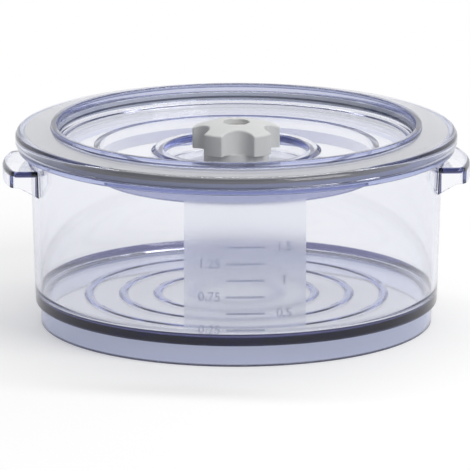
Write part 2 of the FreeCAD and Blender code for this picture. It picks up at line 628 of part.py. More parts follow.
def make_valve_rotor():
    """The rotor: a ported disc that turns on the seat, with a hub above and a stem below."""
    rotor = new_body("valve_rotor")
    seal_middle = f"({SEAT_TOP} + Dim.rotor_thick / 2)"
    seal_side = "(Dim.seal_section / 2 + Dim.seal_slack)"
    turned(rotor, "Revolution", "rotor_blank", [
        ("0", STEM_FOOT),
        (CLIP_CORE, STEM_FOOT),
        (half("stem_dia"), f"{STEM_FOOT} + Dim.stem_tail / 2"),
        (half("stem_dia"), f"{CLIP_FOOT} - Dim.clip_gap"),
        (CLIP_CORE, f"{CLIP_FOOT} - Dim.clip_gap"),
        (CLIP_CORE, f"{SPRING_FOOT} + Dim.clip_gap"),
        (half("stem_dia"), f"{SPRING_FOOT} + Dim.clip_gap"),
        (half("stem_dia"), SEAT_TOP),
        (ROTOR_RADIUS, SEAT_TOP),
        (ROTOR_RADIUS, f"{seal_middle} - {seal_side}"),
        (SEAL_CORE, f"{seal_middle} - {seal_side}"),
        (SEAL_CORE, f"{seal_middle} + {seal_side}"),
        (ROTOR_RADIUS, f"{seal_middle} + {seal_side}"),
        (ROTOR_RADIUS, ROTOR_TOP),
        (half("grommet_dia"), ROTOR_TOP),
        (half("grommet_dia"), GROMMET_FOOT),
        (half("hub_bore"), GROMMET_FOOT),
        (half("hub_bore"), ROTOR_TOP),
        ("0", ROTOR_TOP)])
    keys = key_plan(rotor, "rotor_keys", ROTOR_TOP, "0")
    raised(rotor, "Pad", "rotor_key_pair", keys, "Dim.chamber_height + Dim.key_reach")
    window = outline(new_sketch(rotor, "window_face", "YZ_Plane"), [
        ("-Dim.window_width / 2", ROTOR_TOP), ("Dim.window_width / 2", ROTOR_TOP),
        ("Dim.window_width / 2", CHAMBER_TOP), ("-Dim.window_width / 2", CHAMBER_TOP)])
    raised(rotor, "Pocket", "hub_windows", window, "Dim.grommet_dia + Dim.overrun", both_sides=True)
    drill(rotor, "rotor_port", "Dim.air_hole / 2", LID_PORT_ANGLE - VALVE_STEP,
          ROTOR_TOP, "Dim.rotor_thick")
    vent = outline(new_sketch(rotor, "vent_plan", "XY_Plane", SEAT_TOP), [
        (f"{PORT_CIRCLE} - Dim.air_hole / 2", "-Dim.air_hole / 2"),
        (f"{ROTOR_RADIUS} + Dim.overrun", "-Dim.air_hole / 2"),
        (f"{ROTOR_RADIUS} + Dim.overrun", "Dim.air_hole / 2"),
        (f"{PORT_CIRCLE} - Dim.air_hole / 2", "Dim.air_hole / 2")])
    raised(rotor, "Pocket", "vent_slot", vent,
           f"({seal_middle} - {seal_side} - {SEAT_TOP}) / 2", turn_round=True)
    return rotor


def make_rotor_seal():
    """The O-ring round the rotor's disc."""
    seal = doc.addObject("Part::Torus", "rotor_seal")
    seal.Label = "rotor_seal"
    seal.setExpression("Radius1", f"{SEAL_CORE} + Dim.seal_slack / 2 + Dim.seal_section / 2")
    seal.setExpression("Radius2", "Dim.seal_section / 2")
    seal.setExpression("Placement.Base.z", f"{SEAT_TOP} + Dim.rotor_thick / 2")
    doc.recompute()
    return seal


def make_seat_gasket():
    """The silicone seat on the well's floor, with the hole over the lid's port."""
    seat = new_body("seat_gasket")
    plan = new_sketch(seat, "seat_plan", "XY_Plane", WELL_TOP)
    ring(plan, ROTOR_RADIUS)
    ring(plan, f"{STEM_HOLE} + Dim.rotor_gap")
    raised(seat, "Pad", "seat_ring", plan, "Dim.seat_thick")
    drill(seat, "seat_port", "Dim.air_hole / 2 + Dim.rotor_gap", LID_PORT_ANGLE,
          SEAT_TOP, "Dim.seat_thick")
    return seat


def make_slip_washer():
    """The washer that lets the spring turn against the underside of the well."""
    washer = new_body("slip_washer")
    turned(washer, "Revolution", "washer_ring", [
        (STEM_HOLE, WASHER_FOOT), (half("washer_dia"), WASHER_FOOT),
        (half("washer_dia"), WELL_UNDER), (STEM_HOLE, WELL_UNDER)])
    return washer


def make_cupped_spring():
    """The cupped steel spring that pulls the rotor down on its seat."""
    spring = new_body("cupped_spring")
    crest = f"{WASHER_FOOT} - Dim.spring_plate"
    turned(spring, "Revolution", "spring_cone", [
        (STEM_HOLE, SPRING_FOOT),
        (half("spring_dia"), crest),
        (half("spring_dia"), WASHER_FOOT),
        (STEM_HOLE, f"{SPRING_FOOT} + Dim.spring_plate")])
    return spring


def make_stem_clip():
    """The open steel clip that snaps into the stem's groove."""
    clip = new_body("stem_clip")
    turned(clip, "Revolution", "clip_arc", [
        (f"{CLIP_CORE} + Dim.clip_gap", CLIP_FOOT), (half("clip_dia"), CLIP_FOOT),
        (half("clip_dia"), SPRING_FOOT), (f"{CLIP_CORE} + Dim.clip_gap", SPRING_FOOT)],
        angle=FULL_TURN - CLIP_OPENING)
    return clip


pieces = [make_bowl(), make_lid(), make_lid_gasket(), make_knob(), make_port_grommet(),
          make_valve_rotor(), make_rotor_seal(), make_seat_gasket(), make_slip_washer(),
          make_cupped_spring(), make_stem_clip()]

doc.recompute()
for item in doc.Objects:
    if "Invalid" in item.State or "Error" in item.State:
        raise RuntimeError(f"{item.Name} failed: {item.State}")
for piece in pieces:
    if piece.Shape.isNull() or not piece.Shape.isValid() or len(piece.Shape.Solids) != 1:
        raise RuntimeError(f"{piece.Label} is not one valid solid")

os.makedirs("parts", exist_ok=True)
for piece in pieces:
    piece.Shape.exportStep(f"parts/{piece.Label}.step")
    print(piece.Label, round(piece.Shape.Volume), "mm3")
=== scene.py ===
"""Vacuum seal canister, dressed for a studio picture.

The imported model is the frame. The clear bowl, the clear lid, its silicone gasket and the fluted
knob are modelled again with smooth walls and rounded edges, in the places of the solids that
they stand for. The small pieces of the valve keep their solids and get a finish each.
Sizes are in millimetres, and each mesh is scaled to metres once, when it is finished.
"""
import logging
import math
from collections.abc import Callable, Mapping, Sequence
from dataclasses import dataclass, field
from enum import Enum
from functools import cached_property, reduce

import bmesh
import bpy
from mathutils import Matrix, Vector


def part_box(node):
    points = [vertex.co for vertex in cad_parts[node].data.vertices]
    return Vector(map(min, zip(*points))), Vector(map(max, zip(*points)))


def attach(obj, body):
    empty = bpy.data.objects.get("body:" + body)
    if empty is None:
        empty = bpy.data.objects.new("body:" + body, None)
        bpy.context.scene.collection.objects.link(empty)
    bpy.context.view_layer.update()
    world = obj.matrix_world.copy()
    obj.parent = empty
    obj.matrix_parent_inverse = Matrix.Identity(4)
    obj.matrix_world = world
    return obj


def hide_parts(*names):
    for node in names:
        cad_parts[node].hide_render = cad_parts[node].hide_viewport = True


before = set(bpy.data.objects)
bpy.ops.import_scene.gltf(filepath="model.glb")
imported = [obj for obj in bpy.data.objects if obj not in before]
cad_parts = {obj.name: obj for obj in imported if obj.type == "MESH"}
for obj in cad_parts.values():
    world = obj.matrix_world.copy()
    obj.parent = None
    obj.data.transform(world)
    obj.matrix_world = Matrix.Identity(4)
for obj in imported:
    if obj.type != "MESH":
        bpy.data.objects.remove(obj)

MM = 0.001
WELD = 0.0001
ROUND_PROFILE = 0.5
KEEP_MATERIAL = -1
TURN_STEPS = 256
LEAST_ARC_STEPS = 2
ARC_STEP = math.radians(12)
SHARP_ANGLE = math.radians(32)
QUAD_SIDES = 4
NOISE_MIDDLE = 0.5
ANYWHERE = -1.0
ORIGIN = (0.0, 0.0, 0.0)
UP = (0.0, 0.0, 1.0)
WHITE = (1.0, 1.0, 1.0)

Colour = tuple[float, float, float]
Place = tuple[float, float, float]
Span = tuple[float, float]

log = logging.getLogger("canister")


class Join(Enum):
    """How a second form acts on a first one."""

    ADD = "UNION"
    CUT = "DIFFERENCE"


class Rides(Enum):
    """The bodies of the frame that pieces move with."""

    BOWL = "bowl"
    LID = "lid"
    KNOB = "knob"


class Slot(Enum):
    """The record's material slots that new pieces stand in for; nothing in the script reads them."""

    CLEAR = "clear_plastic"
    GASKET = "gasket_silicone"
    KNOB = "knob_plastic"


class Wire:
    """A node's output that takes part in Python sums: each operator adds a Math node."""

    def __init__(self, graph: "Graph", socket: bpy.types.NodeSocket) -> None:
        """Wrap one output socket of a graph."""
        self.graph = graph
        self.socket = socket

    def __add__(self, other: "Operand") -> "Wire":
        """This plus another."""
        return self.graph.math("ADD", self, other)

    def __radd__(self, other: "Operand") -> "Wire":
        """A number plus this."""
        return self.graph.math("ADD", other, self)

    def __sub__(self, other: "Operand") -> "Wire":
        """This less another."""
        return self.graph.math("SUBTRACT", self, other)

    def __rsub__(self, other: "Operand") -> "Wire":
        """A number less this."""
        return self.graph.math("SUBTRACT", other, self)

    def __mul__(self, other: "Operand") -> "Wire":
        """This times another."""
        return self.graph.math("MULTIPLY", self, other)

    def __rmul__(self, other: "Operand") -> "Wire":
        """A number times this."""
        return self.graph.math("MULTIPLY", other, self)

    def __gt__(self, other: "Operand") -> "Wire":
        """One where this is greater, else nought."""
        return self.graph.math("GREATER_THAN", self, other)

    def __lt__(self, other: "Operand") -> "Wire":
        """One where this is less, else nought."""
        return self.graph.math("LESS_THAN", self, other)

    def __abs__(self) -> "Wire":
        """This without its sign."""
        return self.graph.math("ABSOLUTE", self)

    def root(self) -> "Wire":
        """The square root of this."""
        return self.graph.math("SQRT", self)

    def or_else(self, other: "Operand") -> "Wire":
        """The larger of this and another."""
        return self.graph.math("MAXIMUM", self, other)

    def within(self, span: Span) -> "Wire":
        """One inside a span, else nought."""
        return (self > span[0]) * (self < span[1])

    def eased(self, low: float, high: float) -> "Wire":
        """A soft step from nought at low to one at high."""
        ends = {"Value": self, "From Min": low, "From Max": high}
        return self.graph.link("ShaderNodeMapRange", {"interpolation_type": "SMOOTHSTEP"}, ends)


Operand = Wire | float
Values = Mapping[str | int, object]


def opaque(colour: Colour) -> tuple[float, float, float, float]:
    """A colour with full alpha, as a colour socket wants it."""
    return (*colour, 1.0)


class Graph:
    """The node tree of a material or of the world, emptied and then filled by calls."""

    def __init__(self, owner: bpy.types.Material | bpy.types.World) -> None:
        """Take over a node tree.

        Args:
            owner: The material or world.
        """
        owner.use_nodes = True
        self.tree = owner.node_tree
        self.tree.nodes.clear()

    def add(
        self, kind: str, settings: Values | None = None, sockets: Values | None = None
    ) -> bpy.types.Node:
        """Add a node.

        Args:
            kind: The node's type.
            settings: Its properties, which are set first.
            sockets: A value or a Wire for each input, by name or number.

        Returns:
            The node.
        """
        node = self.tree.nodes.new(kind)
        for name, setting in (settings or {}).items():
            setattr(node, name, setting)
        for name, value in (sockets or {}).items():
            if isinstance(value, Wire):
                self.tree.links.new(value.socket, node.inputs[name])
            else:
                node.inputs[name].default_value = value
        return node

    def link(
        self,
        kind: str,
        settings: Values | None = None,
        sockets: Values | None = None,
        output: str | int = 0,
    ) -> Wire:
        """Add a node and take the wire from one of its outputs."""
        return Wire(self, self.add(kind, settings, sockets).outputs[output])

    def math(self, operation: str, *operands: Operand) -> Wire:
        """The wire from a new Math node on one or two operands."""
        return self.link("ShaderNodeMath", {"operation": operation}, dict(enumerate(operands)))

    @cached_property
    def place(self) -> Wire:
        """The wire of Object coordinates, in metres."""
        return self.link("ShaderNodeTexCoord", output="Object")

    @cached_property
    def axes(self) -> list[Wire]:
        """The wires of the three Object coordinates, in millimetres."""
        parts = self.add("ShaderNodeSeparateXYZ", None, {0: self.place})
        return [Wire(self, output) * (1 / MM) for output in parts.outputs]

    @cached_property
    def radius(self) -> Wire:
        """The wire of the distance from the Z axis, in millimetres."""
        x, y, _ = self.axes
        return (x * x + y * y).root()

    def ray(self, *kinds: str) -> Wire:
        """One for rays of the kinds named, else nought."""
        path = self.add("ShaderNodeLightPath")
        return reduce(Wire.or_else, (Wire(self, path.outputs[f"Is {kind} Ray"]) for kind in kinds))

    def blend(self, share: Wire, low: Wire | Colour, high: Colour) -> Wire:
        """A colour that turns into another, by a share."""
        ends = {0: share, 6: low if isinstance(low, Wire) else opaque(low), 7: opaque(high)}
        return self.link("ShaderNodeMix", {"data_type": "RGBA"}, ends, 2)

    def noise(self, grain: float, detail: float = 3.0, place: Wire | None = None) -> Wire:
        """Cloudy noise from nought to one, with clouds of a size in millimetres and finer layers."""
        sockets = {"Vector": place or self.place, "Scale": 1 / (grain * MM), "Detail": detail}
        return self.link("ShaderNodeTexNoise", None, sockets, "Fac")

    def bump(self, height: Wire, depth: float, strength: float) -> Wire:
        """A normal from a height, with its depth in millimetres and how much of it shows."""
        sockets = {"Height": height, "Distance": depth * MM, "Strength": strength}
        return self.link("ShaderNodeBump", None, sockets)

    def mixed(self, share: Wire, first: Wire, second: Wire) -> Wire:
        """A shader that turns into another, by a share."""
        return self.link("ShaderNodeMixShader", None, {0: share, 1: first, 2: second})

    def principled(self, sockets: Values) -> Wire:
        """A Principled shader with these sockets."""
        return self.link("ShaderNodeBsdfPrincipled", None, sockets)


@dataclass(frozen=True)
class FrostedPatch:
    """A frosted upright patch on the front of a leaning round wall.

    Sizes are in millimetres: its upper level, the radius of the middle of the wall at level
    nought, how far that radius grows per millimetre of height, half its width and its lower level.
    """

    high: float
    wall_middle: float
    wall_lean: float
    half_width: float = 29.3
    low: float = 17.8
    roughness: float = 0.2
    tint: Colour = (0.92, 0.94, 0.98)

    def mask(self, graph: Graph) -> Wire:
        """One on the patch's outer face, else nought.

        Args:
            graph: The graph of the material.

        Returns:
            The wire of the mask.
        """
        x, y, z = graph.axes
        outside = graph.radius > z * self.wall_lean + self.wall_middle
        return outside * (abs(x) < self.half_width) * z.within((self.low, self.high)) * (y < 0.0)


def around(middle: float, half: float) -> Span:
    """The span that reaches equally far to both sides of a middle."""
    return middle - half, middle + half


def shifted(base: float, span: Span) -> Span:
    """The span that is measured from a base."""
    return base + span[0], base + span[1]


@dataclass(frozen=True)
class PaintedShadingBand:
    """A zone of a piece, in millimetres, that shows another colour as painted shade or painted light.

    It lies between two radii and two levels, past a distance from the axis along X and along Y.
    In clear pieces it is painted shade: dark lines and deeper tints that stand for refraction and for
    light that runs a long way inside. On the gasket it is painted shade and painted light.
    """

    radii: Span
    levels: Span
    # The painted colour of the zone, standing for light or shade.
    tint: Colour
    past_x: float = ANYWHERE
    past_y: float = ANYWHERE

    def laid(self, graph: Graph, colour: Wire) -> Wire:
        """Lay the zone's painted shade or light over another colour.

        Args:
            graph: The graph of the material.
            colour: The colour outside the zone.

        Returns:
            The wire of the colour.
        """
        x, y, z = graph.axes
        ring = graph.radius.within(self.radii) * z.within(self.levels)
        mask = ring * (abs(x) > self.past_x) * (abs(y) > self.past_y)
        # Inside the mask, the zone's painted shade or light replaces the colour.
        return graph.blend(mask, colour, self.tint)


@dataclass(frozen=True)
class Finish:
    """What each finish has: its material's name and its zones of painted shade and light, of which a
    later one lies on top.

    Lengths are in millimetres.
    """

    name: str
    bands: tuple[PaintedShadingBand, ...] = ()

    def drawn(self, graph: Graph) -> dict[str, Wire]:
        """The shaders of the surface and of any inside, which each finish draws in its own way."""
        raise NotImplementedError

    def banded(self, graph: Graph, colour: Wire) -> Wire:
        """A colour with the zones of painted shade and light laid over it."""
        return reduce(lambda under, band: band.laid(graph, under), self.bands, colour)

    def material(self) -> bpy.types.Material:
        """Make the material.

        Returns:
            The material.
        """
        material = bpy.data.materials.new(self.name)
        graph = Graph(material)
        graph.add("ShaderNodeOutputMaterial", None, self.drawn(graph))
        return material


@dataclass(frozen=True)
class ClearPlastic(Finish):
    """Clear, faintly violet-blue moulded plastic, which darkens where light runs along inside it.

    Lamp light and scattered light pass straight through, dimmed a little at each face, so that
    the object casts a soft pale shadow.
    """

    body_colour: Colour = (0.325, 0.375, 0.650)
    density: float = 38.0
    refraction: float = 1.52
    polish: float = 0.012
    haze: float = 0.03
    haze_grain: float = 3.0
    haze_detail: float = 4.0
    haze_tint: Colour = (0.995, 0.996, 1.0)
    flow_grain: float = 42.0
    flow_detail: float = 2.0
    flow_depth: float = 0.2
    flow_relief: float = 0.05
    passing: Colour = (0.88, 0.88, 0.88)
    patch: FrostedPatch | None = None

    def drawn(self, graph: Graph) -> dict[str, Wire]:
        """Draw the clear surface and the tint inside.

        Args:
            graph: The graph of the material.

        Returns:
            The wires of the shaders.
        """
        flow = graph.noise(self.flow_grain, self.flow_detail)
        haze = graph.noise(self.haze_grain, self.haze_detail)
        roughness = self.polish + haze * self.haze
        colour = graph.blend(haze, self.haze_tint, WHITE)
        if self.patch is not None:
            frost = self.patch.mask(graph)
            roughness = roughness + frost * self.patch.roughness
            colour = graph.blend(frost, colour, self.patch.tint)
        clear = graph.principled(
            {
                # The zones of painted shade are laid into the base colour here.
                "Base Color": self.banded(graph, colour),
                "Roughness": roughness,
                "IOR": self.refraction,
                "Transmission Weight": 1.0,
                "Normal": graph.bump(flow, self.flow_depth, self.flow_relief),
            }
        )
        through = graph.link("ShaderNodeBsdfTransparent", None, {"Color": opaque(self.passing)})
        inside = {"Color": opaque(self.body_colour), "Density": self.density}
        return {
            "Surface": graph.mixed(graph.ray("Shadow", "Diffuse"), clear, through),
            "Volume": graph.link("ShaderNodeVolumeAbsorption", None, inside),
        }


@dataclass(frozen=True)
class MouldedPlastic(Finish):
    """Opaque plastic with the fine spark-eroded grain of its mould."""

    dark: Colour = (0.70, 0.71, 0.705)
    light: Colour = (0.76, 0.77, 0.765)
    refraction: float = 1.49
    roughness: float = 0.44
    roughness_spread: float = 0.16
    cloud_grain: float = 9.0
    cloud_share: float = 0.7
    grain: float = 0.35
    grain_depth: float = 0.05
    relief: float = 0.18

    def drawn(self, graph: Graph) -> dict[str, Wire]:
        """Draw the grained surface.

        Args:
            graph: The graph of the material.

        Returns:
            The wire of the shader.
        """
        grain = graph.noise(self.grain)
        tone = graph.noise(self.cloud_grain) * self.cloud_share + grain * (1 - self.cloud_share)
        sockets = {
            "Base Color": graph.blend(tone, self.dark, self.light),
            "Roughness": self.roughness + (grain - NOISE_MIDDLE) * self.roughness_spread,
            "IOR": self.refraction,
            "Normal": graph.bump(grain, self.grain_depth, self.relief),
        }
        return {"Surface": graph.principled(sockets)}


@dataclass(frozen=True)
class Silicone(Finish):
    """Soft silicone rubber: cloudy, satin, with a faint skin texture."""

    dark: Colour = (0.60, 0.60, 0.59)
    light: Colour = (0.70, 0.70, 0.69)
    refraction: float = 1.41
    roughness: float = 0.38
    roughness_spread: float = 0.14
    cloud_grain: float = 14.0
    skin_grain: float = 0.6
    skin_depth: float = 0.04
    relief: float = 0.15

    def drawn(self, graph: Graph) -> dict[str, Wire]:
        """Draw the satin surface.

        Args:
            graph: The graph of the material.

        Returns:
            The wire of the shader.
        """
        skin = graph.noise(self.skin_grain)
        cloud = graph.blend(graph.noise(self.cloud_grain), self.dark, self.light)
        sockets = {
            # Any zones of painted shade and painted light are laid into the base colour here.
            "Base Color": self.banded(graph, cloud),
            "Roughness": self.roughness + skin * self.roughness_spread,
            "IOR": self.refraction,
            "Normal": graph.bump(skin, self.skin_depth, self.relief),
        }
        return {"Surface": graph.principled(sockets)}


@dataclass(frozen=True)
class SpringSteel(Finish):
    """Blanked spring steel with fine rolling lines along X."""

    dark: Colour = (0.42, 0.43, 0.45)
    light: Colour = (0.66, 0.67, 0.69)
    roughness: float = 0.22
    roughness_spread: float = 0.2
    line: float = 0.12
    line_depth: float = 0.01
    stretch: float = 14.0
    relief: float = 0.2

    def drawn(self, graph: Graph) -> dict[str, Wire]:
        """Draw the rolled surface.

        Args:
            graph: The graph of the material.

        Returns:
            The wire of the shader.
        """
        stretched = {"Vector": graph.place, "Scale": (1 / self.stretch, 1, 1)}
        lines = graph.noise(self.line, place=graph.link("ShaderNodeMapping", None, stretched))
        sockets = {
            "Base Color": graph.blend(lines, self.dark, self.light),
            "Roughness": self.roughness + lines * self.roughness_spread,
            "Metallic": 1.0,
            "Normal": graph.bump(lines, self.line_depth, self.relief),
        }
        return {"Surface": graph.principled(sockets)}


@dataclass(frozen=True)
class Corner:
    """A corner of a section that is spun: its radius from the axis, its level and its rounding."""

    radius: float
    level: float
    fillet: float = 0.0


def in_scene(name: str, data: bpy.types.ID) -> bpy.types.Object:
    """Add an object to the scene.

    Args:
        name: Its name.
        data: Its mesh, text, lamp or camera.

    Returns:
        The object.
    """
    thing = bpy.data.objects.new(name, data)
    bpy.context.scene.collection.objects.link(thing)
    return thing


def spots_of(geometry: Sequence[object]) -> list[bmesh.types.BMVert]:
    """The vertices among what an operator made."""
    return [item for item in geometry if isinstance(item, bmesh.types.BMVert)]


def angle_at(spot: bmesh.types.BMVert) -> float:
    """The angle between an outline's two edges at a vertex."""
    one, other = (edge.other_vert(spot).co - spot.co for edge in spot.link_edges)
    return one.angle(other)


class Form:
    """A closed mesh in the making, in millimetres."""

    def __init__(self) -> None:
        """Start with nothing."""
        self.mesh = bmesh.new()

    @classmethod
    def turned(cls, section: Sequence[Corner]) -> "Form":
        """Spin a section about Z into a closed shell.

        Args:
            section: The corners of the section in order. One that touches the axis starts and
                ends there.

        Returns:
            The shell.
        """
        form = cls()
        spots = [form.mesh.verts.new((corner.radius, 0, corner.level)) for corner in section]
        form.mesh.faces.new(spots)
        for spot, corner in zip(spots, section):
            if corner.fillet:
                form.round_corner(spot, corner.fillet)
        bmesh.ops.delete(form.mesh, geom=form.mesh.faces[:], context="FACES_ONLY")
        on_axis = [e for e in form.mesh.edges if all(v.co.x < WELD for v in e.verts)]
        bmesh.ops.delete(form.mesh, geom=on_axis, context="EDGES")
        form.spun(form.mesh.verts[:] + form.mesh.edges[:], math.tau, TURN_STEPS, use_merge=True)
        form.closed()
        return form

    @classmethod
    def block(cls, low: Place, high: Place) -> "Form":
        """Make a box.

        Args:
            low: Its lowest corner.
            high: Its highest corner.

        Returns:
            The box.
        """
        form = cls()
        bmesh.ops.create_cube(form.mesh, size=1.0)
        foot, top = Vector(low), Vector(high)
        bmesh.ops.scale(form.mesh, vec=top - foot, verts=form.mesh.verts[:])
        form.moved((top + foot) / 2)
        return form

    @classmethod
    def cone(cls, foot: Place, depth: float, low: float, high: float, steps: int) -> "Form":
        """Make an upright cone with flat ends.

        Args:
            foot: The middle of its lower end.
            depth: Its height.
            low: The radius of its lower end.
            high: The radius of its upper end.
            steps: The number of its sides.

        Returns:
            The cone.
        """
        form = cls()
        bmesh.ops.create_cone(
            form.mesh, cap_ends=True, segments=steps, radius1=low, radius2=high, depth=depth
        )
        form.moved(Vector(foot) + Vector(UP) * (depth / 2))
        return form

    @classmethod
    def shown_by(cls, thing: bpy.types.Object) -> "Form":
        """Take the mesh that an object shows, with its modifiers.

        Args:
            thing: The object.

        Returns:
            The mesh as a form.
        """
        seen = bpy.context.evaluated_depsgraph_get()
        mesh = bpy.data.meshes.new_from_object(thing.evaluated_get(seen))
        form = cls()
        form.mesh.from_mesh(mesh)
        bpy.data.meshes.remove(mesh)
        return form

    def moved(self, path: Vector) -> None:
        """Move the whole form along a path."""
        bmesh.ops.translate(self.mesh, vec=path, verts=self.mesh.verts[:])

    def spun(
        self,
        geometry: Sequence[object],
        angle: float,
        steps: int,
        centre: Place = ORIGIN,
        **options: bool,
    ) -> Sequence[object]:
        """Spin geometry about an upright axis, and give what the last step made."""
        spin = bmesh.ops.spin(
            self.mesh,
            geom=geometry,
            cent=centre,
            axis=UP,
            dvec=ORIGIN,
            angle=angle,
            steps=steps,
            **options,
        )
        return spin["geom_last"]

    def arc(self, start: Place, centre: Place, angle: float, steps: int) -> list[bmesh.types.BMVert]:
        """Spin one vertex about an upright axis into a chain of edges, and give its two ends."""
        first = self.mesh.verts.new(start)
        return [first, *spots_of(self.spun([first], angle, steps, centre))]

    def round_corner(self, spot: bmesh.types.BMVert, radius: float) -> None:
        """Round one corner of a flat outline.

        Args:
            spot: The corner.
            radius: The radius of the rounding.
        """
        between = angle_at(spot)
        bmesh.ops.bevel(
            self.mesh,
            geom=[spot],
            offset=radius / math.tan(between / 2),
            offset_type="OFFSET",
            affect="VERTICES",
            segments=max(LEAST_ARC_STEPS, round((math.pi - between) / ARC_STEP)),
            profile=ROUND_PROFILE,
            material=KEEP_MATERIAL,
        )

    def round_edges(self, edges: Sequence[bmesh.types.BMEdge], radius: float, segments: int) -> None:
        """Round edges of a solid by a radius, with a number of faces across."""
        bmesh.ops.bevel(
            self.mesh,
            geom=list(edges),
            offset=radius,
            offset_type="OFFSET",
            affect="EDGES",
            segments=segments,
            profile=ROUND_PROFILE,
            material=KEEP_MATERIAL,
        )

    def pushed(self, path: Place) -> None:
        """Push all flat faces along a path into a solid.

        Args:
            path: Which way and how far.
        """
        grown = bmesh.ops.extrude_face_region(self.mesh, geom=self.mesh.faces[:])["geom"]
        bmesh.ops.translate(self.mesh, vec=path, verts=spots_of(grown))
        bmesh.ops.recalc_face_normals(self.mesh, faces=self.mesh.faces[:])

    def extended(
        self, loop: Sequence[bmesh.types.BMEdge], placed: Callable[[Vector], Vector]
    ) -> list[bmesh.types.BMEdge]:
        """Extrude a loop of edges into a row of faces.

        Args:
            loop: The edges.
            placed: Gives the place of each new vertex from that of its old one.

        Returns:
            The new loop.
        """
        grown = bmesh.ops.extrude_edge_only(self.mesh, edges=list(loop))["geom"]
        spots = set(spots_of(grown))
        for spot in spots:
            spot.co = placed(spot.co)
        edges = (item for item in grown if isinstance(item, bmesh.types.BMEdge))
        return [edge for edge in edges if spots.issuperset(edge.verts)]

    def closed(self) -> None:
        """Weld the seams and turn the faces outwards."""
        bmesh.ops.remove_doubles(self.mesh, verts=self.mesh.verts[:], dist=WELD)
        bmesh.ops.recalc_face_normals(self.mesh, faces=self.mesh.faces[:])

    def shaped(self, tool: "Form", way: Join) -> "Form":
        """Add a second form or cut it away.

        Args:
            tool: The second form, which is used up.
            way: What is done with it.

        Returns:
            This form.
        """
        blank, cutter = (in_scene("scratch", form.emptied("scratch")) for form in (self, tool))
        modifier = blank.modifiers.new("join", "BOOLEAN")
        modifier.operation = way.value
        modifier.solver = "EXACT"
        modifier.object = cutter
        self.mesh = Form.shown_by(blank).mesh
        for thing in (blank, cutter):
            bpy.data.meshes.remove(thing.data)
        return self

    def emptied(self, name: str) -> bpy.types.Mesh:
        """Empty this form into a mesh.

        Args:
            name: The mesh's name.

        Returns:
            The mesh.
        """
        mesh = bpy.data.meshes.new(name)
        self.mesh.to_mesh(mesh)
        self.mesh.free()
        return mesh

    def finished(self, name: str, material: bpy.types.Material) -> bpy.types.Object:
        """Turn the form into a piece of the scene, in metres.

        Args:
            name: The piece's name.
            material: Its finish.

        Returns:
            The piece.
        """
        bmesh.ops.scale(self.mesh, vec=(MM, MM, MM), verts=self.mesh.verts[:])
        for face in self.mesh.faces:
            face.smooth = True
        mesh = self.emptied(name)
        mesh.set_sharp_from_angle(angle=SHARP_ANGLE)
        mesh.materials.append(material)
        piece = in_scene(name, mesh)
        even = piece.modifiers.new("even_shading", "WEIGHTED_NORMAL")
        even.keep_sharp = True
        return piece


def reach(node: str) -> tuple[Vector, Vector]:
    """The lowest and highest corner of a CAD node, in millimetres."""
    low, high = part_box(node)
    return low / MM, high / MM


def mounted(piece: bpy.types.Object, body: Rides, slot: Slot, *nodes: str) -> None:
    """Fix a piece to a body of the frame.

    Args:
        piece: The piece.
        body: The body that it moves with.
        slot: Not used.
        nodes: The CAD nodes that it stands for.
    """
    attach(piece, body.value)
    if nodes:
        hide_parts(*nodes)
    log.info("%s rides on %s, %d faces", piece.name, body.value, len(piece.data.polygons))


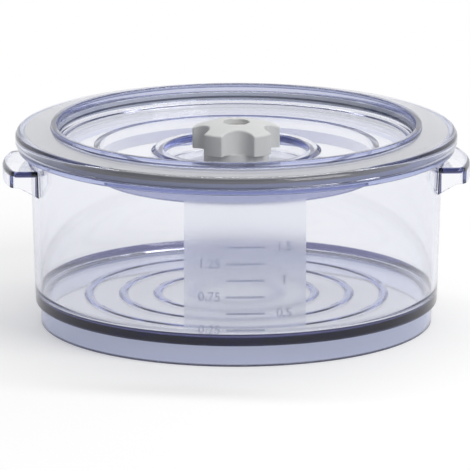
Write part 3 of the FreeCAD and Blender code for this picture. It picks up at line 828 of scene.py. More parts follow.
@dataclass
class Bowl:
    """The bowl: foot ring, leaning wall, rim flange, two hollow ears and a floor with ring ribs.

    The rim's radius, the height and the ears' reach come from the frame.
    """

    wall: float = 2.6
    rim_reach: float = 6.2
    rim_thick: float = 2.8
    rim_fillet: float = 0.8
    under_rim_fillet: float = 1.5
    wall_draft: float = 2.3
    foot_step: float = 2.6
    foot_height: float = 10.8
    floor_thick: float = 3.0
    floor_fillet: float = 6.0
    rib_inner: float = 21.7
    rib_pitch: float = 17.0
    rib_count: int = 4
    rib_width: float = 4.6
    rib_crest: float = 1.6
    rib_height: float = 0.4
    rib_fillet: float = 0.5
    ear_half: float = 25.5
    ear_bow: float = 4.4
    ear_drop: float = 9.0
    ear_plate: float = 2.6
    ear_wall: float = 2.5
    ear_lip: float = 8.0
    ear_root: float = 13.2
    ear_flat: float = 8.1
    ear_corner: float = 5.0
    ear_edge: float = 1.8
    ear_edge_steps: int = 5
    ear_steps: int = 8
    rim: float = field(init=False)
    height: float = field(init=False)
    ear_tip: float = field(init=False)

    def __post_init__(self) -> None:
        """Read the outside sizes from the frame."""
        _, high = reach("bowl")
        self.ear_tip, self.rim, self.height = high

    @property
    def wall_top(self) -> float:
        """Outer radius of the wall just under the rim."""
        return self.rim - self.rim_reach

    @property
    def wall_base(self) -> float:
        """Outer radius of the wall at the floor's underside."""
        return self.wall_top - self.wall_draft

    @property
    def rim_under(self) -> float:
        """Level of the rim flange's underside."""
        return self.height - self.rim_thick

    @property
    def floor_top(self) -> float:
        """Level of the floor between its ribs."""
        return self.foot_height + self.floor_thick

    @property
    def ear_top(self) -> float:
        """Level of the ears' upper side."""
        return self.height - self.ear_drop

    @property
    def ear_foot(self) -> float:
        """Level of the gussets' lower end at the wall."""
        return self.ear_top - self.ear_root

    @property
    def lean(self) -> float:
        """How far the wall's radius grows per millimetre of height."""
        return self.wall_draft / (self.rim_under - self.foot_height)

    def rib_middles(self) -> list[float]:
        """Radii of the middles of the floor's ribs."""
        return [self.rib_inner + number * self.rib_pitch for number in range(self.rib_count)]

    def wall_at(self, level: float) -> float:
        """Outer radius of the wall at a level."""
        return self.wall_base + self.lean * (level - self.foot_height)

    def patch(self) -> FrostedPatch:
        """The frosted patch of the measuring panel, which reaches up to the rim."""
        middle = self.wall_at(0) - self.wall / 2
        return FrostedPatch(high=self.rim_under, wall_middle=middle, wall_lean=self.lean)

    def section(self) -> list[Corner]:
        """The section of the bowl without its ears.

        Returns:
            Its corners, from the middle of the floor's top.
        """
        floor, rib_top = self.floor_top, self.floor_top + self.rib_height
        corners = [Corner(0, floor)]
        flank, crest = self.rib_width / 2, self.rib_crest / 2
        for middle in self.rib_middles():
            corners += [
                Corner(middle - flank, floor, self.rib_fillet),
                Corner(middle - crest, rib_top, self.rib_fillet),
                Corner(middle + crest, rib_top, self.rib_fillet),
                Corner(middle + flank, floor, self.rib_fillet),
            ]
        foot = self.wall_base - self.foot_step
        foot_inside = foot - self.wall
        corners += [
            Corner(self.wall_at(floor) - self.wall, floor, self.floor_fillet),
            Corner(self.wall_at(self.height) - self.wall, self.height, self.rim_fillet),
            Corner(self.rim, self.height, self.rim_fillet),
            Corner(self.rim, self.rim_under, self.rim_fillet),
            Corner(self.wall_top, self.rim_under, self.under_rim_fillet),
            Corner(self.wall_base, self.foot_height, self.rim_fillet),
            Corner(foot, self.foot_height),
            Corner(foot, 0, self.rim_fillet),
            Corner(foot_inside, 0, self.rim_fillet),
            Corner(foot_inside, self.foot_height),
            Corner(0, self.foot_height),
        ]
        return corners

    def bowed_plate(self, inset: float, low: float, high: float) -> Form:
        """Make an upright prism with the plan of the right ear.

        Args:
            inset: How far its sides lie inside the ear's.
            low: Its lower level.
            high: Its upper level.

        Returns:
            The prism, which starts inside the bowl.
        """
        bow = (self.ear_half**2 + self.ear_bow**2) / (2 * self.ear_bow)
        middle = self.ear_tip - bow
        side, radius = self.ear_half - inset, bow - inset
        swing = math.asin(side / radius)
        form = Form()
        start = (middle + radius * math.cos(swing), -side, low)
        ends = form.arc(start, (middle, 0, low), 2 * swing, self.ear_steps)
        buried = self.wall_base - self.ear_half
        roots = [form.mesh.verts.new((buried, spot.co.y, low)) for spot in ends]
        for pair in (*zip(ends, roots), roots):
            form.mesh.edges.new(pair)
        bmesh.ops.contextual_create(form.mesh, geom=form.mesh.edges[:])
        for spot in ends:
            form.round_corner(spot, self.ear_corner - inset)
        form.pushed((0, 0, high - low))
        return form

    def gusset_slope(self, outside: float) -> Form:
        """Make the wedge that, cut from under the right ear, leaves its gussets sloping.

        Args:
            outside: How far out along X the slope starts.

        Returns:
            The wedge, which is wider than the ear.
        """
        lip_foot = self.ear_top - self.ear_lip
        beyond, below = self.ear_tip + self.wall, self.ear_foot - self.wall
        profile = (
            (outside, self.ear_foot),
            (self.ear_tip - self.ear_flat, lip_foot),
            (beyond, lip_foot),
            (beyond, below),
            (outside, below),
        )
        wide = self.ear_half + self.wall
        wedge = Form()
        wedge.mesh.faces.new([wedge.mesh.verts.new((x, -wide, z)) for x, z in profile])
        wedge.pushed((0, 2 * wide, 0))
        return wedge

    def ear(self) -> Form:
        """Make the right ear: a bowed plate with a lip and two gussets, hollow from below.

        Returns:
            The ear, which ends inside the wall.
        """
        foot, top = self.ear_foot, self.ear_top
        ear = self.bowed_plate(0, foot, top)
        outside = self.wall_at(foot) * math.cos(math.asin(self.ear_half / self.wall_at(foot)))
        top_edges = [
            edge
            for edge in ear.mesh.edges
            if all(abs(v.co.z - top) < WELD for v in edge.verts)
            and max(v.co.x for v in edge.verts) > outside
        ]
        ear.round_edges(top_edges, self.ear_edge, self.ear_edge_steps)
        ear.shaped(self.gusset_slope(outside), Join.CUT)
        ear.shaped(self.bowed_plate(self.ear_wall, foot - self.wall, top - self.ear_plate), Join.CUT)
        low, high = foot - self.ear_root, self.height
        radii = (self.wall_at(level) - self.wall / 2 for level in (low, high))
        return ear.shaped(Form.cone((0, 0, low), high - low, *radii, TURN_STEPS), Join.CUT)

    def build(self, material: bpy.types.Material) -> None:
        """Model the bowl and fix it to the frame.

        Args:
            material: Its finish.
        """
        shell = Form.turned(self.section())
        for turn in (0.0, math.pi):
            ear = self.ear()
            turned = Matrix.Rotation(turn, 3, "Z")
            bmesh.ops.rotate(ear.mesh, cent=ORIGIN, matrix=turned, verts=ear.mesh.verts[:])
            shell.shaped(ear, Join.ADD)
        mounted(shell.finished("clear_bowl", material), Rides.BOWL, Slot.CLEAR, "bowl")


@dataclass(frozen=True)
class BowlPaintedShade:
    """Zones of painted shade on the bowl, with their colours, standing for where light runs a long way
    inside and for the shadow at the foot.

    Lengths are in millimetres: how far zones reach past faces or stay clear of them, how wide the
    dark lines are, and how far out along X the zones of the ears begin. The rises of the floor's
    edge and of its ribs are measured from the floor's underside and from its top.
    """

    # Painted shade: the foot ring a darker blue, like the shaded table seen through its walls.
    foot: Colour = (0.60, 0.64, 0.80)
    # Painted contact shadow along the foot's lowest edge.
    painted_contact_shadow: Colour = (0.10, 0.10, 0.14)
    # Painted shade: the dark band where the floor meets the wall.
    painted_floor_edge_shade: Colour = (0.03, 0.03, 0.12)
    # Painted shade: deeper violet over the rim flange and on the ribs.
    rim: Colour = (0.40, 0.46, 0.76)
    painted_rib_shade: Colour = (0.42, 0.46, 0.76)
    # Painted shade: dark lines on the ears' sides, at the gussets' roots and along the ears' seam with
    # the wall.
    painted_ear_side_shade: Colour = (0.10, 0.10, 0.22)
    painted_gusset_root_shade: Colour = (0.04, 0.04, 0.10)
    painted_ear_seam_shade: Colour = (0.05, 0.05, 0.12)
    margin: float = 1.0
    foot_clear: float = 0.5
    contact_height: float = 0.9
    edge_rises: Span = (0.4, 6.0)
    rib_rises: Span = (0.05, 1.0)
    ear_start: float = 97.0
    ear_side_depth: float = 0.7
    ear_root_clear: float = 0.1
    ear_top_clear: float = 0.3
    gusset_line: float = 1.2
    seam_line: float = 1.1
    seam_half: float = 0.2

    def bands(self, bowl: Bowl) -> tuple[PaintedShadingBand, ...]:
        """Lay out the zones of painted shade on a bowl.

        Args:
            bowl: The bowl.

        Returns:
            The zones.
        """
        foot, margin = bowl.foot_height, self.margin
        wall_face = bowl.wall_base - margin
        rim_radii = (bowl.wall_top - margin, bowl.rim + margin)
        plate_under = bowl.ear_top - bowl.ear_plate
        root = bowl.wall_at(bowl.ear_top) + self.ear_root_clear
        ear = (self.ear_start, bowl.ear_half - self.ear_side_depth)
        plate = (plate_under, bowl.ear_top - self.ear_top_clear)
        gusset = (bowl.ear_foot, plate_under)
        seam = around(bowl.ear_top, self.seam_half)
        rib_levels = shifted(bowl.floor_top, self.rib_rises)
        ribs = (around(middle, bowl.rib_width / 2) for middle in bowl.rib_middles())
        return (
            # Painted shade, in order: foot ring, contact shadow, floor's edge, rim, ears' sides,
            # gussets' roots, ears' seam, ribs.
            PaintedShadingBand((0, wall_face), (-margin, foot - self.foot_clear), self.foot),
            PaintedShadingBand((0, wall_face), (-margin, self.contact_height), self.painted_contact_shadow),
            PaintedShadingBand((wall_face, bowl.rim), shifted(foot, self.edge_rises), self.painted_floor_edge_shade),
            PaintedShadingBand(rim_radii, (bowl.rim_under - margin, bowl.height), self.rim),
            PaintedShadingBand((root, bowl.ear_tip), plate, self.painted_ear_side_shade, *ear),
            PaintedShadingBand((root, root + self.gusset_line), gusset, self.painted_gusset_root_shade, *ear),
            PaintedShadingBand((root, root + self.seam_line), seam, self.painted_ear_seam_shade, self.ear_start),
            *(PaintedShadingBand(radii, rib_levels, self.painted_rib_shade) for radii in ribs),
        )


@dataclass
class MeasuringScale:
    """Raised tick lines and plain numbers on the front of the bowl's wall.

    Levels are in millimetres above the table. A step is a quarter of the scale's unit, and the
    numbers stand to the left and right of the ticks in turn.
    """

    bowl: Bowl
    first_level: float = 18.9
    level_step: float = 8.2
    steps: int = 6
    unit_step: float = 0.25
    tick_length: float = 18.6
    tick_height: float = 0.9
    proud: float = 0.35
    sunk: float = 0.15
    tick_cuts: int = 15
    edge_steps: int = 2
    facing: float = 0.5
    digit_size: float = 6.4
    number_middles: Span = (-17.4, 18.8)

    def wrapped(self, form: Form) -> None:
        """Bend a flat form onto the wall.

        Args:
            form: The form, which lies along X, with its levels along Y and outwards along Z.
        """
        for spot in form.mesh.verts:
            along, level, out = spot.co
            wall = self.bowl.wall_at(level)
            angle, radius = along / wall, wall + out
            spot.co = (radius * math.sin(angle), -radius * math.cos(angle), level)

    def tick(self, level: float) -> Form:
        """Make one tick line with rounded edges.

        Args:
            level: The level of its middle.

        Returns:
            The tick, flat.
        """
        left, right = around(0, self.tick_length / 2)
        foot, top = around(level, self.tick_height / 2)
        bar = Form.block((left, foot, -self.sunk), (right, top, self.proud))
        lengthwise = [e for e in bar.mesh.edges if abs(e.verts[0].co.x - e.verts[1].co.x) > WELD]
        bmesh.ops.subdivide_edges(bar.mesh, edges=lengthwise, cuts=self.tick_cuts, use_grid_fill=True)
        front = [e for e in bar.mesh.edges if all(v.co.z > self.proud - WELD for v in e.verts)]
        rim = [e for e in front if any(f.normal.z < self.facing for f in e.link_faces)]
        bar.round_edges(rim, self.proud / 2, self.edge_steps)
        return bar

    def number(self, text: str, middle: float, level: float) -> Form:
        """Make one number as a raised plate.

        Args:
            text: The number.
            middle: How far to the right of the scale its middle lies.
            level: The level of its middle.

        Returns:
            The number, flat.
        """
        curve = bpy.data.curves.new("number", "FONT")
        curve.body = text
        curve.size = self.digit_size
        curve.align_x = "CENTER"
        curve.align_y = "CENTER"
        curve.extrude = (self.proud + self.sunk) / 2
        form = Form.shown_by(in_scene("number", curve))
        bpy.data.curves.remove(curve)
        form.closed()
        form.moved(Vector((middle, level, (self.proud - self.sunk) / 2)))
        return form

    def build(self, material: bpy.types.Material) -> None:
        """Model the ticks and numbers and fix them to the frame.

        Args:
            material: Their finish.
        """
        for step in range(self.steps):
            level = self.first_level + step * self.level_step
            text = f"{(step + 1) * self.unit_step:g}"
            middle = self.number_middles[step % len(self.number_middles)]
            marks = {
                f"tick_{step + 1}": self.tick(level),
                f"number_{step + 1}": self.number(text, middle, level),
            }
            for name, form in marks.items():
                self.wrapped(form)
                mounted(form.finished(name, material), Rides.BOWL, Slot.CLEAR)


@dataclass
class Lid:
    """The lid: outer wall, gasket channel, recess, dished panel, knob well and locating skirt.

    The outer radius, the lowest and the highest level come from the frame. The bead stands a
    little higher than on the solid, and the outer edge is crisper.
    """

    wall: float = 2.4
    channel_wall: float = 4.6
    edge: float = 5.7
    edge_fillet: float = 3.0
    ring_width: float = 17.6
    ring_rise: float = 1.4
    bead_width: float = 2.6
    bead_height: float = 0.6
    bead_lift: float = 1.6
    bead_fillet: float = 0.8
    recess_draft: float = 1.7
    recess_depth: float = 7.7
    recess_fillet: float = 3.0
    panel_dish: float = 4.8
    lip_width: float = 6.2
    lip_flank: float = 1.8
    lip_height: float = 1.4
    lip_fillet: float = 0.9
    well: float = 35.5
    well_draft: float = 0.7
    well_depth: float = 8.2
    well_floor: float = 2.0
    well_fillet: float = 1.2
    skirt_inset: float = 18.4
    skirt_wall: float = 2.4
    stem_hole: float = 4.65
    air_hole: float = 1.5
    air_hole_out: float = 10.0
    air_hole_steps: int = 32
    small_fillet: float = 0.3
    rim: float = field(init=False)
    top: float = field(init=False)
    skirt_foot: float = field(init=False)

    def __post_init__(self) -> None:
        """Read the outside sizes from the frame."""
        low, high = reach("lid")
        self.rim, self.top, self.skirt_foot = high.x, high.z, low.z

    @property
    def shoulder(self) -> float:
        """Level of the top ring's outer edge."""
        return self.bead_foot - self.ring_rise

    @property
    def bead_foot(self) -> float:
        """Level of the top ring's inner edge, where the bead starts."""
        return self.top - self.bead_height

    @property
    def bead_top(self) -> float:
        """Level of the bead's top."""
        return self.top + self.bead_lift

    @property
    def bead_edge(self) -> float:
        """Radius of the bead's outer side."""
        return self.rim - self.ring_width

    @property
    def recess(self) -> float:
        """Radius of the recess at its top."""
        return self.bead_edge - self.bead_width

    @property
    def panel_edge(self) -> float:
        """Level of the panel where it meets the recess."""
        return self.top - self.recess_depth

    @property
    def skirt(self) -> float:
        """Outer radius of the skirt."""
        return self.recess - self.skirt_inset

    def ring_under(self, radius: float) -> float:
        """Level of the top ring's underside at a radius."""
        return self.shoulder + self.ring_rise * (self.rim - radius) / self.ring_width - self.wall

    def section(self) -> list[Corner]:
        """The section of the lid.

        Returns:
            Its corners, from the stem hole outwards and back over the top.
        """
        recess_foot = self.recess - self.recess_draft
        lip_edge = self.well + self.lip_width
        panel_inner = self.panel_edge - self.panel_dish
        fall = self.panel_dish / (recess_foot - lip_edge)

        def under_panel(radius: float, fillet: float = self.small_fillet) -> Corner:
            """A corner on the panel's underside at a radius."""
            return Corner(radius, panel_inner - self.wall + fall * (radius - lip_edge), fillet)

        lip_top = panel_inner + self.lip_height
        well_top = lip_top - self.well_depth
        well_under = well_top - self.well_floor
        well_foot = self.well - self.well_draft
        skirt_inner = self.skirt - self.skirt_wall
        channel_inner, channel_outer = self.recess + self.wall, self.rim - self.channel_wall
        foot = self.shoulder - self.edge
        return [
            Corner(self.stem_hole, well_under, self.small_fillet),
            Corner(well_foot + self.wall, well_under, self.well_fillet),
            under_panel(self.well + self.wall),
            under_panel(skirt_inner),
            Corner(skirt_inner, self.skirt_foot, self.bead_fillet),
            Corner(self.skirt, self.skirt_foot, self.bead_fillet),
            under_panel(self.skirt),
            under_panel(recess_foot + self.wall, self.well_fillet),
            Corner(channel_inner, self.ring_under(channel_inner), self.small_fillet),
            Corner(channel_outer, self.ring_under(channel_outer), self.small_fillet),
            Corner(channel_outer, foot, self.small_fillet),
            Corner(self.rim, foot, self.small_fillet),
            Corner(self.rim, self.shoulder, self.edge_fillet),
            Corner(self.bead_edge, self.bead_foot, self.small_fillet),
            Corner(self.bead_edge, self.bead_top, self.small_fillet),
            Corner(self.recess, self.bead_top, self.bead_fillet),
            Corner(recess_foot, self.panel_edge, self.recess_fillet),
            Corner(lip_edge, panel_inner, self.small_fillet),
            Corner(lip_edge - self.lip_flank, lip_top, self.lip_fillet),
            Corner(self.well, lip_top, self.lip_fillet),
            Corner(well_foot, well_top, self.well_fillet),
            Corner(self.stem_hole, well_top, self.small_fillet),
        ]

    def build(self, material: bpy.types.Material) -> None:
        """Model the lid and fix it to the frame.

        Args:
            material: Its finish.
        """
        shell = Form.turned(self.section())
        foot = (0, self.air_hole_out, self.skirt_foot)
        drill = Form.cone(foot, self.recess_depth, self.air_hole, self.air_hole, self.air_hole_steps)
        shell.shaped(drill, Join.CUT)
        mounted(shell.finished("clear_lid", material), Rides.LID, Slot.CLEAR, "lid")


@dataclass(frozen=True)
class LidPaintedShade:
    """Zones of painted shade on the lid, with their colours, standing for where light runs a long way
    inside.

    Lengths are in millimetres. The radii of lines are measured from the recess. Rises are measured
    from the skirt's foot, the panel's edge and the bead's foot.
    """

    # Painted shade: the skirt and the bead a deeper violet, dark lines at the recess's foot, on the
    # panel and at the bead's foot.
    skirt: Colour = (0.18, 0.20, 0.40)
    painted_recess_line: Colour = (0.05, 0.06, 0.10)
    painted_panel_line: Colour = (0.20, 0.21, 0.30)
    bead: Colour = (0.60, 0.64, 0.86)
    painted_bead_seam: Colour = (0.15, 0.16, 0.30)
    skirt_half: float = 0.6
    skirt_rises: Span = (-1.0, 6.0)
    recess_line_radii: Span = (-2.0, 0.0)
    recess_line_rises: Span = (2.5, 3.5)
    panel_line_radii: Span = (-4.1, -3.2)
    panel_line_rises: Span = (-0.3, 0.6)
    bead_inside: float = 0.4
    bead_outside: float = 0.2
    seam_half: float = 0.4
    seam_rises: Span = (-0.1, 0.4)

    def bands(self, lid: Lid) -> tuple[PaintedShadingBand, ...]:
        """Lay out the zones of painted shade on a lid.

        Args:
            lid: The lid.

        Returns:
            The zones.
        """
        recess, panel = lid.recess, lid.panel_edge
        skirt_levels = shifted(lid.skirt_foot, self.skirt_rises)
        painted_recess_line = (shifted(recess, self.recess_line_radii), shifted(panel, self.recess_line_rises))
        painted_panel_line = (shifted(recess, self.panel_line_radii), shifted(panel, self.panel_line_rises))
        bead_radii = (recess - self.bead_inside, lid.bead_edge + self.bead_outside)
        seam_levels = shifted(lid.bead_foot, self.seam_rises)
        return (
            # Painted shade, in order: skirt, line at the recess's foot, line on the panel, bead, line at
            # the bead's foot.
            PaintedShadingBand(around(lid.skirt, self.skirt_half), skirt_levels, self.skirt),
            PaintedShadingBand(*painted_recess_line, self.painted_recess_line),
            PaintedShadingBand(*painted_panel_line, self.painted_panel_line),
            PaintedShadingBand(bead_radii, (seam_levels[1], lid.bead_top), self.bead),
            PaintedShadingBand(around(lid.bead_edge, self.seam_half), seam_levels, self.painted_bead_seam),
        )


@dataclass
class LidGasket:
    """The silicone ring in the lid's channel, with two ridges that bear on the bowl's rim.

    The outer radius and the lowest level come from the frame.
    """

    lid: Lid
    gap: float = 0.15
    lift: float = 0.7
    ridge_count: int = 2
    ridge_width: float = 1.1
    ridge_pitch: float = 2.2
    first_ridge: float = 100.23
    fillet: float = 0.35
    outer: float = field(init=False)
    foot: float = field(init=False)

    def __post_init__(self) -> None:
        """Read the outside sizes from the frame."""
        low, high = reach("lid_gasket")
        self.outer, self.foot = high.x, low.z

    def top_corner(self, radius: float) -> Corner:
        """A corner on the ring's top, close under the lid, at a radius."""
        return Corner(radius, self.lid.ring_under(radius) - self.gap, self.fillet)

    def section(self) -> list[Corner]:
        """The section of the ring.

        Returns:
            Its corners, from the top of its inner side.
        """
        inner = self.lid.recess + self.lid.wall + self.gap
        base = self.foot + self.lift
        corners = [self.top_corner(inner), Corner(inner, base, self.fillet)]
        for number in range(self.ridge_count):
            near = self.first_ridge + number * self.ridge_pitch
            far = near + self.ridge_width
            corners += [
                Corner(near, base),
                Corner(near, self.foot, self.fillet),
                Corner(far, self.foot, self.fillet),
                Corner(far, base),
            ]
        return [*corners, Corner(self.outer, base, self.fillet), self.top_corner(self.outer)]

    def build(self, material: bpy.types.Material) -> None:
        """Model the gasket in a finish and fix it to the frame."""
        piece = Form.turned(self.section()).finished("lid_seal_ring", material)
        mounted(piece, Rides.LID, Slot.GASKET, "lid_gasket")


@dataclass(frozen=True)
class GasketPaintedShading:
    """Zones of painted shade and painted light on the gasket's sides, with their colours.

    Lengths are in millimetres: how far the zones reach into the ring from its sides, and how far
    those of its outer side reach up from its foot.
    """

    # Painted shade on the outer side, dark grey above and violet below; painted light on the inner side,
    # a lighter lavender.
    painted_outer_shade: Colour = (0.20, 0.20, 0.21)
    lower: Colour = (0.30, 0.33, 0.50)
    inner: Colour = (0.78, 0.82, 0.95)
    outer_depth: float = 0.8
    inner_depth: float = 0.4
    shaded_height: float = 3.6
    lower_height: float = 2.5

    def bands(self, gasket: LidGasket) -> tuple[PaintedShadingBand, ...]:
        """Lay out the zones of painted shade and light on a gasket.

        Args:
            gasket: The gasket.

        Returns:
            The zones.
        """
        lid = gasket.lid
        outside = (lid.rim - lid.channel_wall - self.outer_depth, lid.rim)
        inside = (0, lid.recess + lid.wall + self.inner_depth)
        return (
            # Painted shade on the outer side, then painted light on the inner side.
            PaintedShadingBand(outside, (0, gasket.foot + self.shaded_height), self.painted_outer_shade),
            PaintedShadingBand(outside, (0, gasket.foot + self.lower_height), self.lower),
            PaintedShadingBand(inside, (0, lid.top), self.inner),
        )


@dataclass
class Knob:
    """The knob: a domed head with flutes on a hollow neck, with the hose port on its axis.

    Its lowest and highest level come from the frame. One flute faces the front.
    """

    lobes: float = 21.6
    flute_count: int = 5
    flute: float = 8.2
    flute_offset: float = 1.3
    peak_angle: float = math.radians(135)
    corner: float = 0.9
    crown_inset: float = 0.85
    crown: float = 0.7
    under_edge: float = 0.3
    head_lift: float = 7.2
    dome_rise: float = 3.2
    dome: float = 46.0
    dome_cuts: int = 10
    neck: float = 16.0
    cavity: float = 13.5
    cavity_height: float = 5.6
    socket: float = 8.2
    mouth: float = 6.6
    mouth_depth: float = 2.0
    mouth_edge: float = 0.6
    key_half: float = 1.6
    key_in: float = 8.9
    key_out: float = 11.1
    key_height: float = 1.7
    flute_steps: int = 14
    lobe_steps: int = 8
    top_edge_steps: int = 4
    under_edge_steps: int = 2
    foot: float = field(init=False)
    top: float = field(init=False)

    def __post_init__(self) -> None:
        """Read the levels of its ends from the frame."""
        low, high = reach("knob")
        self.foot, self.top = low.z, high.z

    @property
    def cavity_top(self) -> float:
        """Level of the roof of the hollow in the neck."""
        return self.foot + self.cavity_height

    def dome_at(self, radius: float) -> float:
        """Level of the domed top at a radius.

        Args:
            radius: The distance from the axis.

        Returns:
            The level.
        """
        run, rise = self.lobes - self.mouth, self.dome_rise
        half_chord = math.hypot(run, rise) / 2
        drop = math.sqrt(self.dome**2 - half_chord**2) / (2 * half_chord)
        centre_radius = (self.lobes + self.mouth) / 2 - rise * drop
        centre_level = self.top - rise / 2 - run * drop
        return centre_level + math.sqrt(self.dome**2 - (radius - centre_radius) ** 2)

    def outline(self, form: Form) -> None:
        """Draw the lobed outline of the head as a flat face with rounded corners.

        Args:
            form: The form to draw in.
        """
        axis = self.lobes + self.flute_offset
        cosine = (self.lobes**2 + axis**2 - self.flute**2) / (2 * self.lobes * axis)
        half_flute = math.acos(cosine)
        across, along = self.lobes * math.sin(half_flute), -self.lobes * cosine
        swing = math.atan2(across, along + axis)
        share = math.tau / self.flute_count
        form.arc((-across, along, 0), (0, -axis, 0), -2 * swing, self.flute_steps)
        form.arc((across, along, 0), ORIGIN, share - 2 * half_flute, self.lobe_steps)
        one_share = form.mesh.verts[:] + form.mesh.edges[:]
        form.spun(one_share, math.tau - share, self.flute_count - 1, use_duplicate=True)
        bmesh.ops.remove_doubles(form.mesh, verts=form.mesh.verts[:], dist=WELD)
        bmesh.ops.contextual_create(form.mesh, geom=form.mesh.edges[:])
        peaks = [spot for spot in form.mesh.verts if angle_at(spot) < self.peak_angle]
        for spot in peaks:
            form.round_corner(spot, self.corner)

    @staticmethod
    def ring(radius: float, level: float) -> Callable[[Vector], Vector]:
        """A rule that moves a point straight out or in to a circle about the axis."""
        return lambda spot: Vector((*(spot.xy.normalized() * radius), level))

    @staticmethod
    def on_ring(edge: bmesh.types.BMEdge, radius: float, level: float) -> bool:
        """Whether an edge lies on a circle about the axis at a level."""
        return all(
            abs(math.hypot(v.co.x, v.co.y) - radius) < WELD and abs(v.co.z - level) < WELD
            for v in edge.verts
        )

    def domed(self, form: Form) -> list[bmesh.types.BMEdge]:
        """Open the mouth in the flat outline and lift it into the dome.

        Args:
            form: The form that holds the outline.

        Returns:
            The outline's edges.
        """
        bmesh.ops.inset_region(
            form.mesh,
            faces=form.mesh.faces[:],
            thickness=self.crown_inset,
            use_boundary=True,
            use_even_offset=True,
        )
        (top,) = (face for face in form.mesh.faces if len(face.verts) > QUAD_SIDES)
        inner = list(top.edges)
        bmesh.ops.delete(form.mesh, geom=[top], context="FACES_ONLY")
        outer = [edge for edge in form.mesh.edges if edge.is_boundary and edge not in inner]
        mouth = form.extended(inner, self.ring(self.mouth, 0))
        mouth_spots = {spot for edge in mouth for spot in edge.verts}
        rays = [e for e in form.mesh.edges if sum(spot in mouth_spots for spot in e.verts) == 1]
        bmesh.ops.subdivide_edges(form.mesh, edges=rays, cuts=self.dome_cuts, use_grid_fill=True)
        for spot in form.mesh.verts:
            spot.co.z = self.dome_at(math.hypot(spot.co.x, spot.co.y))
        return outer

    def hollowed(self, form: Form, outer: Sequence[bmesh.types.BMEdge]) -> list[bmesh.types.BMEdge]:
        """Draw the sides down, round under the neck and up through the port to the mouth.

        Args:
            form: The form that holds the dome.
            outer: The outline's edges.

        Returns:
            The lower edges of the head.
        """
        head_under = self.foot + self.head_lift
        mouth_floor = self.top - self.mouth_depth
        under = form.extended(outer, lambda spot: Vector((spot.x, spot.y, head_under)))
        row = under
        for radius, level in (
            (self.neck, head_under),
            (self.neck, self.foot),
            (self.cavity, self.foot),
            (self.cavity, self.cavity_top),
            (self.socket, self.cavity_top),
            (self.socket, mouth_floor),
            (self.mouth, mouth_floor),
            (self.mouth, self.top),
        ):
            row = form.extended(row, self.ring(radius, level))
        form.closed()
        return under

    def build(self, material: bpy.types.Material) -> None:
        """Model the knob and fix it to the frame.

        Args:
            material: Its finish.
        """
        form = Form()
        self.outline(form)
        outer = self.domed(form)
        under = self.hollowed(form, outer)
        mouth = [e for e in form.mesh.edges if self.on_ring(e, self.mouth, self.top)]
        form.round_edges(outer, self.crown, self.top_edge_steps)
        form.round_edges(under, self.under_edge, self.under_edge_steps)
        form.round_edges(mouth, self.mouth_edge, self.top_edge_steps)
        low, high = around(self.cavity_top, self.key_height)
        for near, far in ((-self.key_out, -self.key_in), (self.key_in, self.key_out)):
            form.shaped(Form.block((-self.key_half, near, low), (self.key_half, far, high)), Join.CUT)
        mounted(form.finished("fluted_knob", material), Rides.KNOB, Slot.KNOB, "knob")


@dataclass
class ValveParts:
    """The small pieces of the valve, which keep their solids: their finishes and nodes."""

    rubber: Finish = Silicone("valve_silicone")
    plastic: Finish = MouldedPlastic("rotor_plastic", dark=(0.74, 0.74, 0.73), light=(0.80, 0.80, 0.79))
    steel: Finish = SpringSteel("spring_steel")
    rubber_nodes: tuple[str, ...] = ("port_grommet", "rotor_seal", "seat_gasket")
    plastic_nodes: tuple[str, ...] = ("valve_rotor", "slip_washer")
    steel_nodes: tuple[str, ...] = ("cupped_spring", "stem_clip")

    def dress(self) -> None:
        """Give each solid its finish."""
        for finish, names in (
            (self.rubber, self.rubber_nodes),
            (self.plastic, self.plastic_nodes),
            (self.steel, self.steel_nodes),
        ):
            material = finish.material()
            for name in names:
                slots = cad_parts[name].data.materials
                slots.clear()
                slots.append(material)
                log.info("%s keeps its solid and is finished in %s", name, material.name)


@dataclass(frozen=True)
class WhiteFloor(Finish):
    """White paper that keeps the object's shadow and fades into the white surround."""

    tone: float = 0.86
    glow: float = 0.26
    shadow_near: float = 110.0
    shadow_far: float = 380.0

    def drawn(self, graph: Graph) -> dict[str, Wire]:
        """Draw the paper.

        Args:
            graph: The graph of the material.

        Returns:
            The wire of the shader.
        """
        far = graph.radius.eased(self.shadow_near, self.shadow_far)
        seen = graph.ray("Camera", "Glossy", "Transmission")
        paper = graph.link("ShaderNodeBsdfDiffuse", None, {"Color": opaque((self.tone,) * 3)})
        glow = graph.link("ShaderNodeEmission", None, {"Strength": seen * self.glow})
        near = graph.link("ShaderNodeAddShader", None, {0: paper, 1: glow})
        white = graph.link("ShaderNodeEmission", None, {"Strength": 1.0})
        return {"Surface": graph.mixed(seen * far, near, white)}


@dataclass(frozen=True)
class Lamp:
    """A soft oblong lamp that faces the object: its place and size in metres, its power in watts."""

    name: str
    place: Place
    size: Span
    power: float

    def hang(self) -> None:
        """Hang the lamp in the scene."""
        light = bpy.data.lights.new(self.name, "AREA")
        light.shape = "RECTANGLE"
        light.size, light.size_y = self.size
        light.energy = self.power
        lamp = in_scene(self.name, light)
        lamp.location = self.place
        lamp.rotation_euler = (-Vector(self.place)).to_track_quat("-Z", "Y").to_euler()


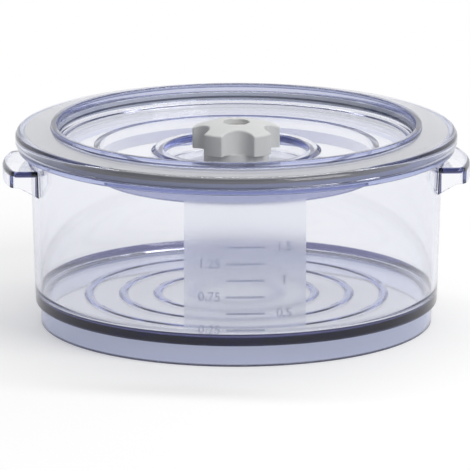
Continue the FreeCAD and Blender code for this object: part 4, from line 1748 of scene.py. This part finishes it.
@dataclass
class Studio:
    """A white floor and surround, soft lamps and the camera of the photograph.

    Lengths of the floor, camera and lamps are in metres, the sensor and lens in millimetres,
    angles in degrees.
    """

    floor_half: float = 4.0
    floor_cells: int = 8
    ambient: float = 0.31
    dark_sky: Colour = (0.03, 0.035, 0.06)
    sky_low: float = 0.34
    sky_high: float = 0.72
    key: Lamp = Lamp("key_lamp", (0.70, -0.74, 0.86), (0.7, 0.7), 8.2)
    strip: Lamp = Lamp("strip_lamp", (0.10, 0.45, 1.10), (1.6, 0.12), 5.6)
    lens: float = 544.0
    sensor: float = 36.0
    view_end: float = 100.0
    distance: float = 3.5
    elevation: float = 13.4
    azimuth: float = -2.5
    aim_level: float = 0.0424
    slide: float = -0.00064
    bounces: int = 32
    clear_bounces: int = 48

    def floor(self) -> None:
        """Lay the wide white floor."""
        form = Form()
        bmesh.ops.create_grid(
            form.mesh,
            x_segments=self.floor_cells,
            y_segments=self.floor_cells,
            size=self.floor_half / MM,
        )
        floor = form.finished("floor", WhiteFloor("white_floor").material())

    def world(self) -> None:
        """White to the camera, darker overhead in glass and gloss, and an even dim light."""
        world = bpy.data.worlds.new("studio")
        bpy.context.scene.world = world
        graph = Graph(world)
        direction = graph.link("ShaderNodeTexCoord", output="Generated")
        up = graph.link("ShaderNodeSeparateXYZ", None, {0: direction}, "Z")
        overhead = up.eased(self.sky_low, self.sky_high) * (1 - graph.ray("Camera"))
        sky = graph.blend(overhead, WHITE, self.dark_sky)
        shown = graph.link("ShaderNodeBackground", None, {"Color": sky, "Strength": 1.0})
        even = {"Color": opaque(WHITE), "Strength": self.ambient}
        light = graph.link("ShaderNodeBackground", None, even)
        mixed = graph.mixed(graph.ray("Camera", "Glossy", "Transmission"), light, shown)
        graph.add("ShaderNodeOutputWorld", None, {"Surface": mixed})

    def camera(self) -> None:
        """The long lens of the photograph, looking slightly down at the front."""
        data = bpy.data.cameras.new("camera")
        data.lens = self.lens
        data.sensor_width = self.sensor
        data.clip_end = self.view_end
        turn, tilt = math.radians(self.azimuth), math.radians(self.elevation)
        level = Vector((math.sin(turn), -math.cos(turn), 0)) * math.cos(tilt)
        away = level + Vector(UP) * math.sin(tilt)
        facing = (-away).to_track_quat("-Z", "Y")
        aim = Vector((0, 0, self.aim_level)) + facing @ Vector((self.slide, 0, 0))
        camera = in_scene("camera", data)
        camera.location = aim + away * self.distance
        camera.rotation_euler = facing.to_euler()
        bpy.context.scene.camera = camera

    def build(self) -> None:
        """Set up the floor, the surround, the lamps, the camera and the colours."""
        self.floor()
        self.world()
        self.key.hang()
        self.strip.hang()
        self.camera()
        scene = bpy.context.scene
        scene.view_settings.view_transform = "Standard"
        for limit in ("max_bounces", "transmission_bounces", "glossy_bounces"):
            setattr(scene.cycles, limit, self.bounces)
        scene.cycles.transparent_max_bounces = self.clear_bounces


def main() -> None:
    """Build the pieces in order, dress the solids that stay and set up the studio."""
    logging.basicConfig(level=logging.INFO, format="%(name)s: %(message)s")
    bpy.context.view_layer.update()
    bowl = Bowl()
    # The bowl's plastic carries zones of painted shade.
    bowl_plastic = ClearPlastic("clear_bowl_plastic_painted_shade", BowlPaintedShade().bands(bowl), patch=bowl.patch())
    bowl.build(bowl_plastic.material())
    mark_plastic = ClearPlastic("clear_mark_plastic", body_colour=(0.48, 0.52, 0.68), density=2000.0)
    MeasuringScale(bowl).build(mark_plastic.material())
    lid = Lid()
    # The lid's plastic carries zones of painted shade.
    lid.build(ClearPlastic("clear_lid_plastic_painted_shade", LidPaintedShade().bands(lid)).material())
    gasket = LidGasket(lid)
    # The gasket's silicone carries zones of painted shade and painted light.
    gasket_grey = Silicone(
        "gasket_silicone", GasketPaintedShading().bands(gasket), dark=(0.56, 0.56, 0.56), light=(0.64, 0.64, 0.63)
    )
    gasket.build(gasket_grey.material())
    Knob().build(MouldedPlastic("knob_plastic").material())
    ValveParts().dress()
    Studio().build()


if __name__ == "__main__":
    main()
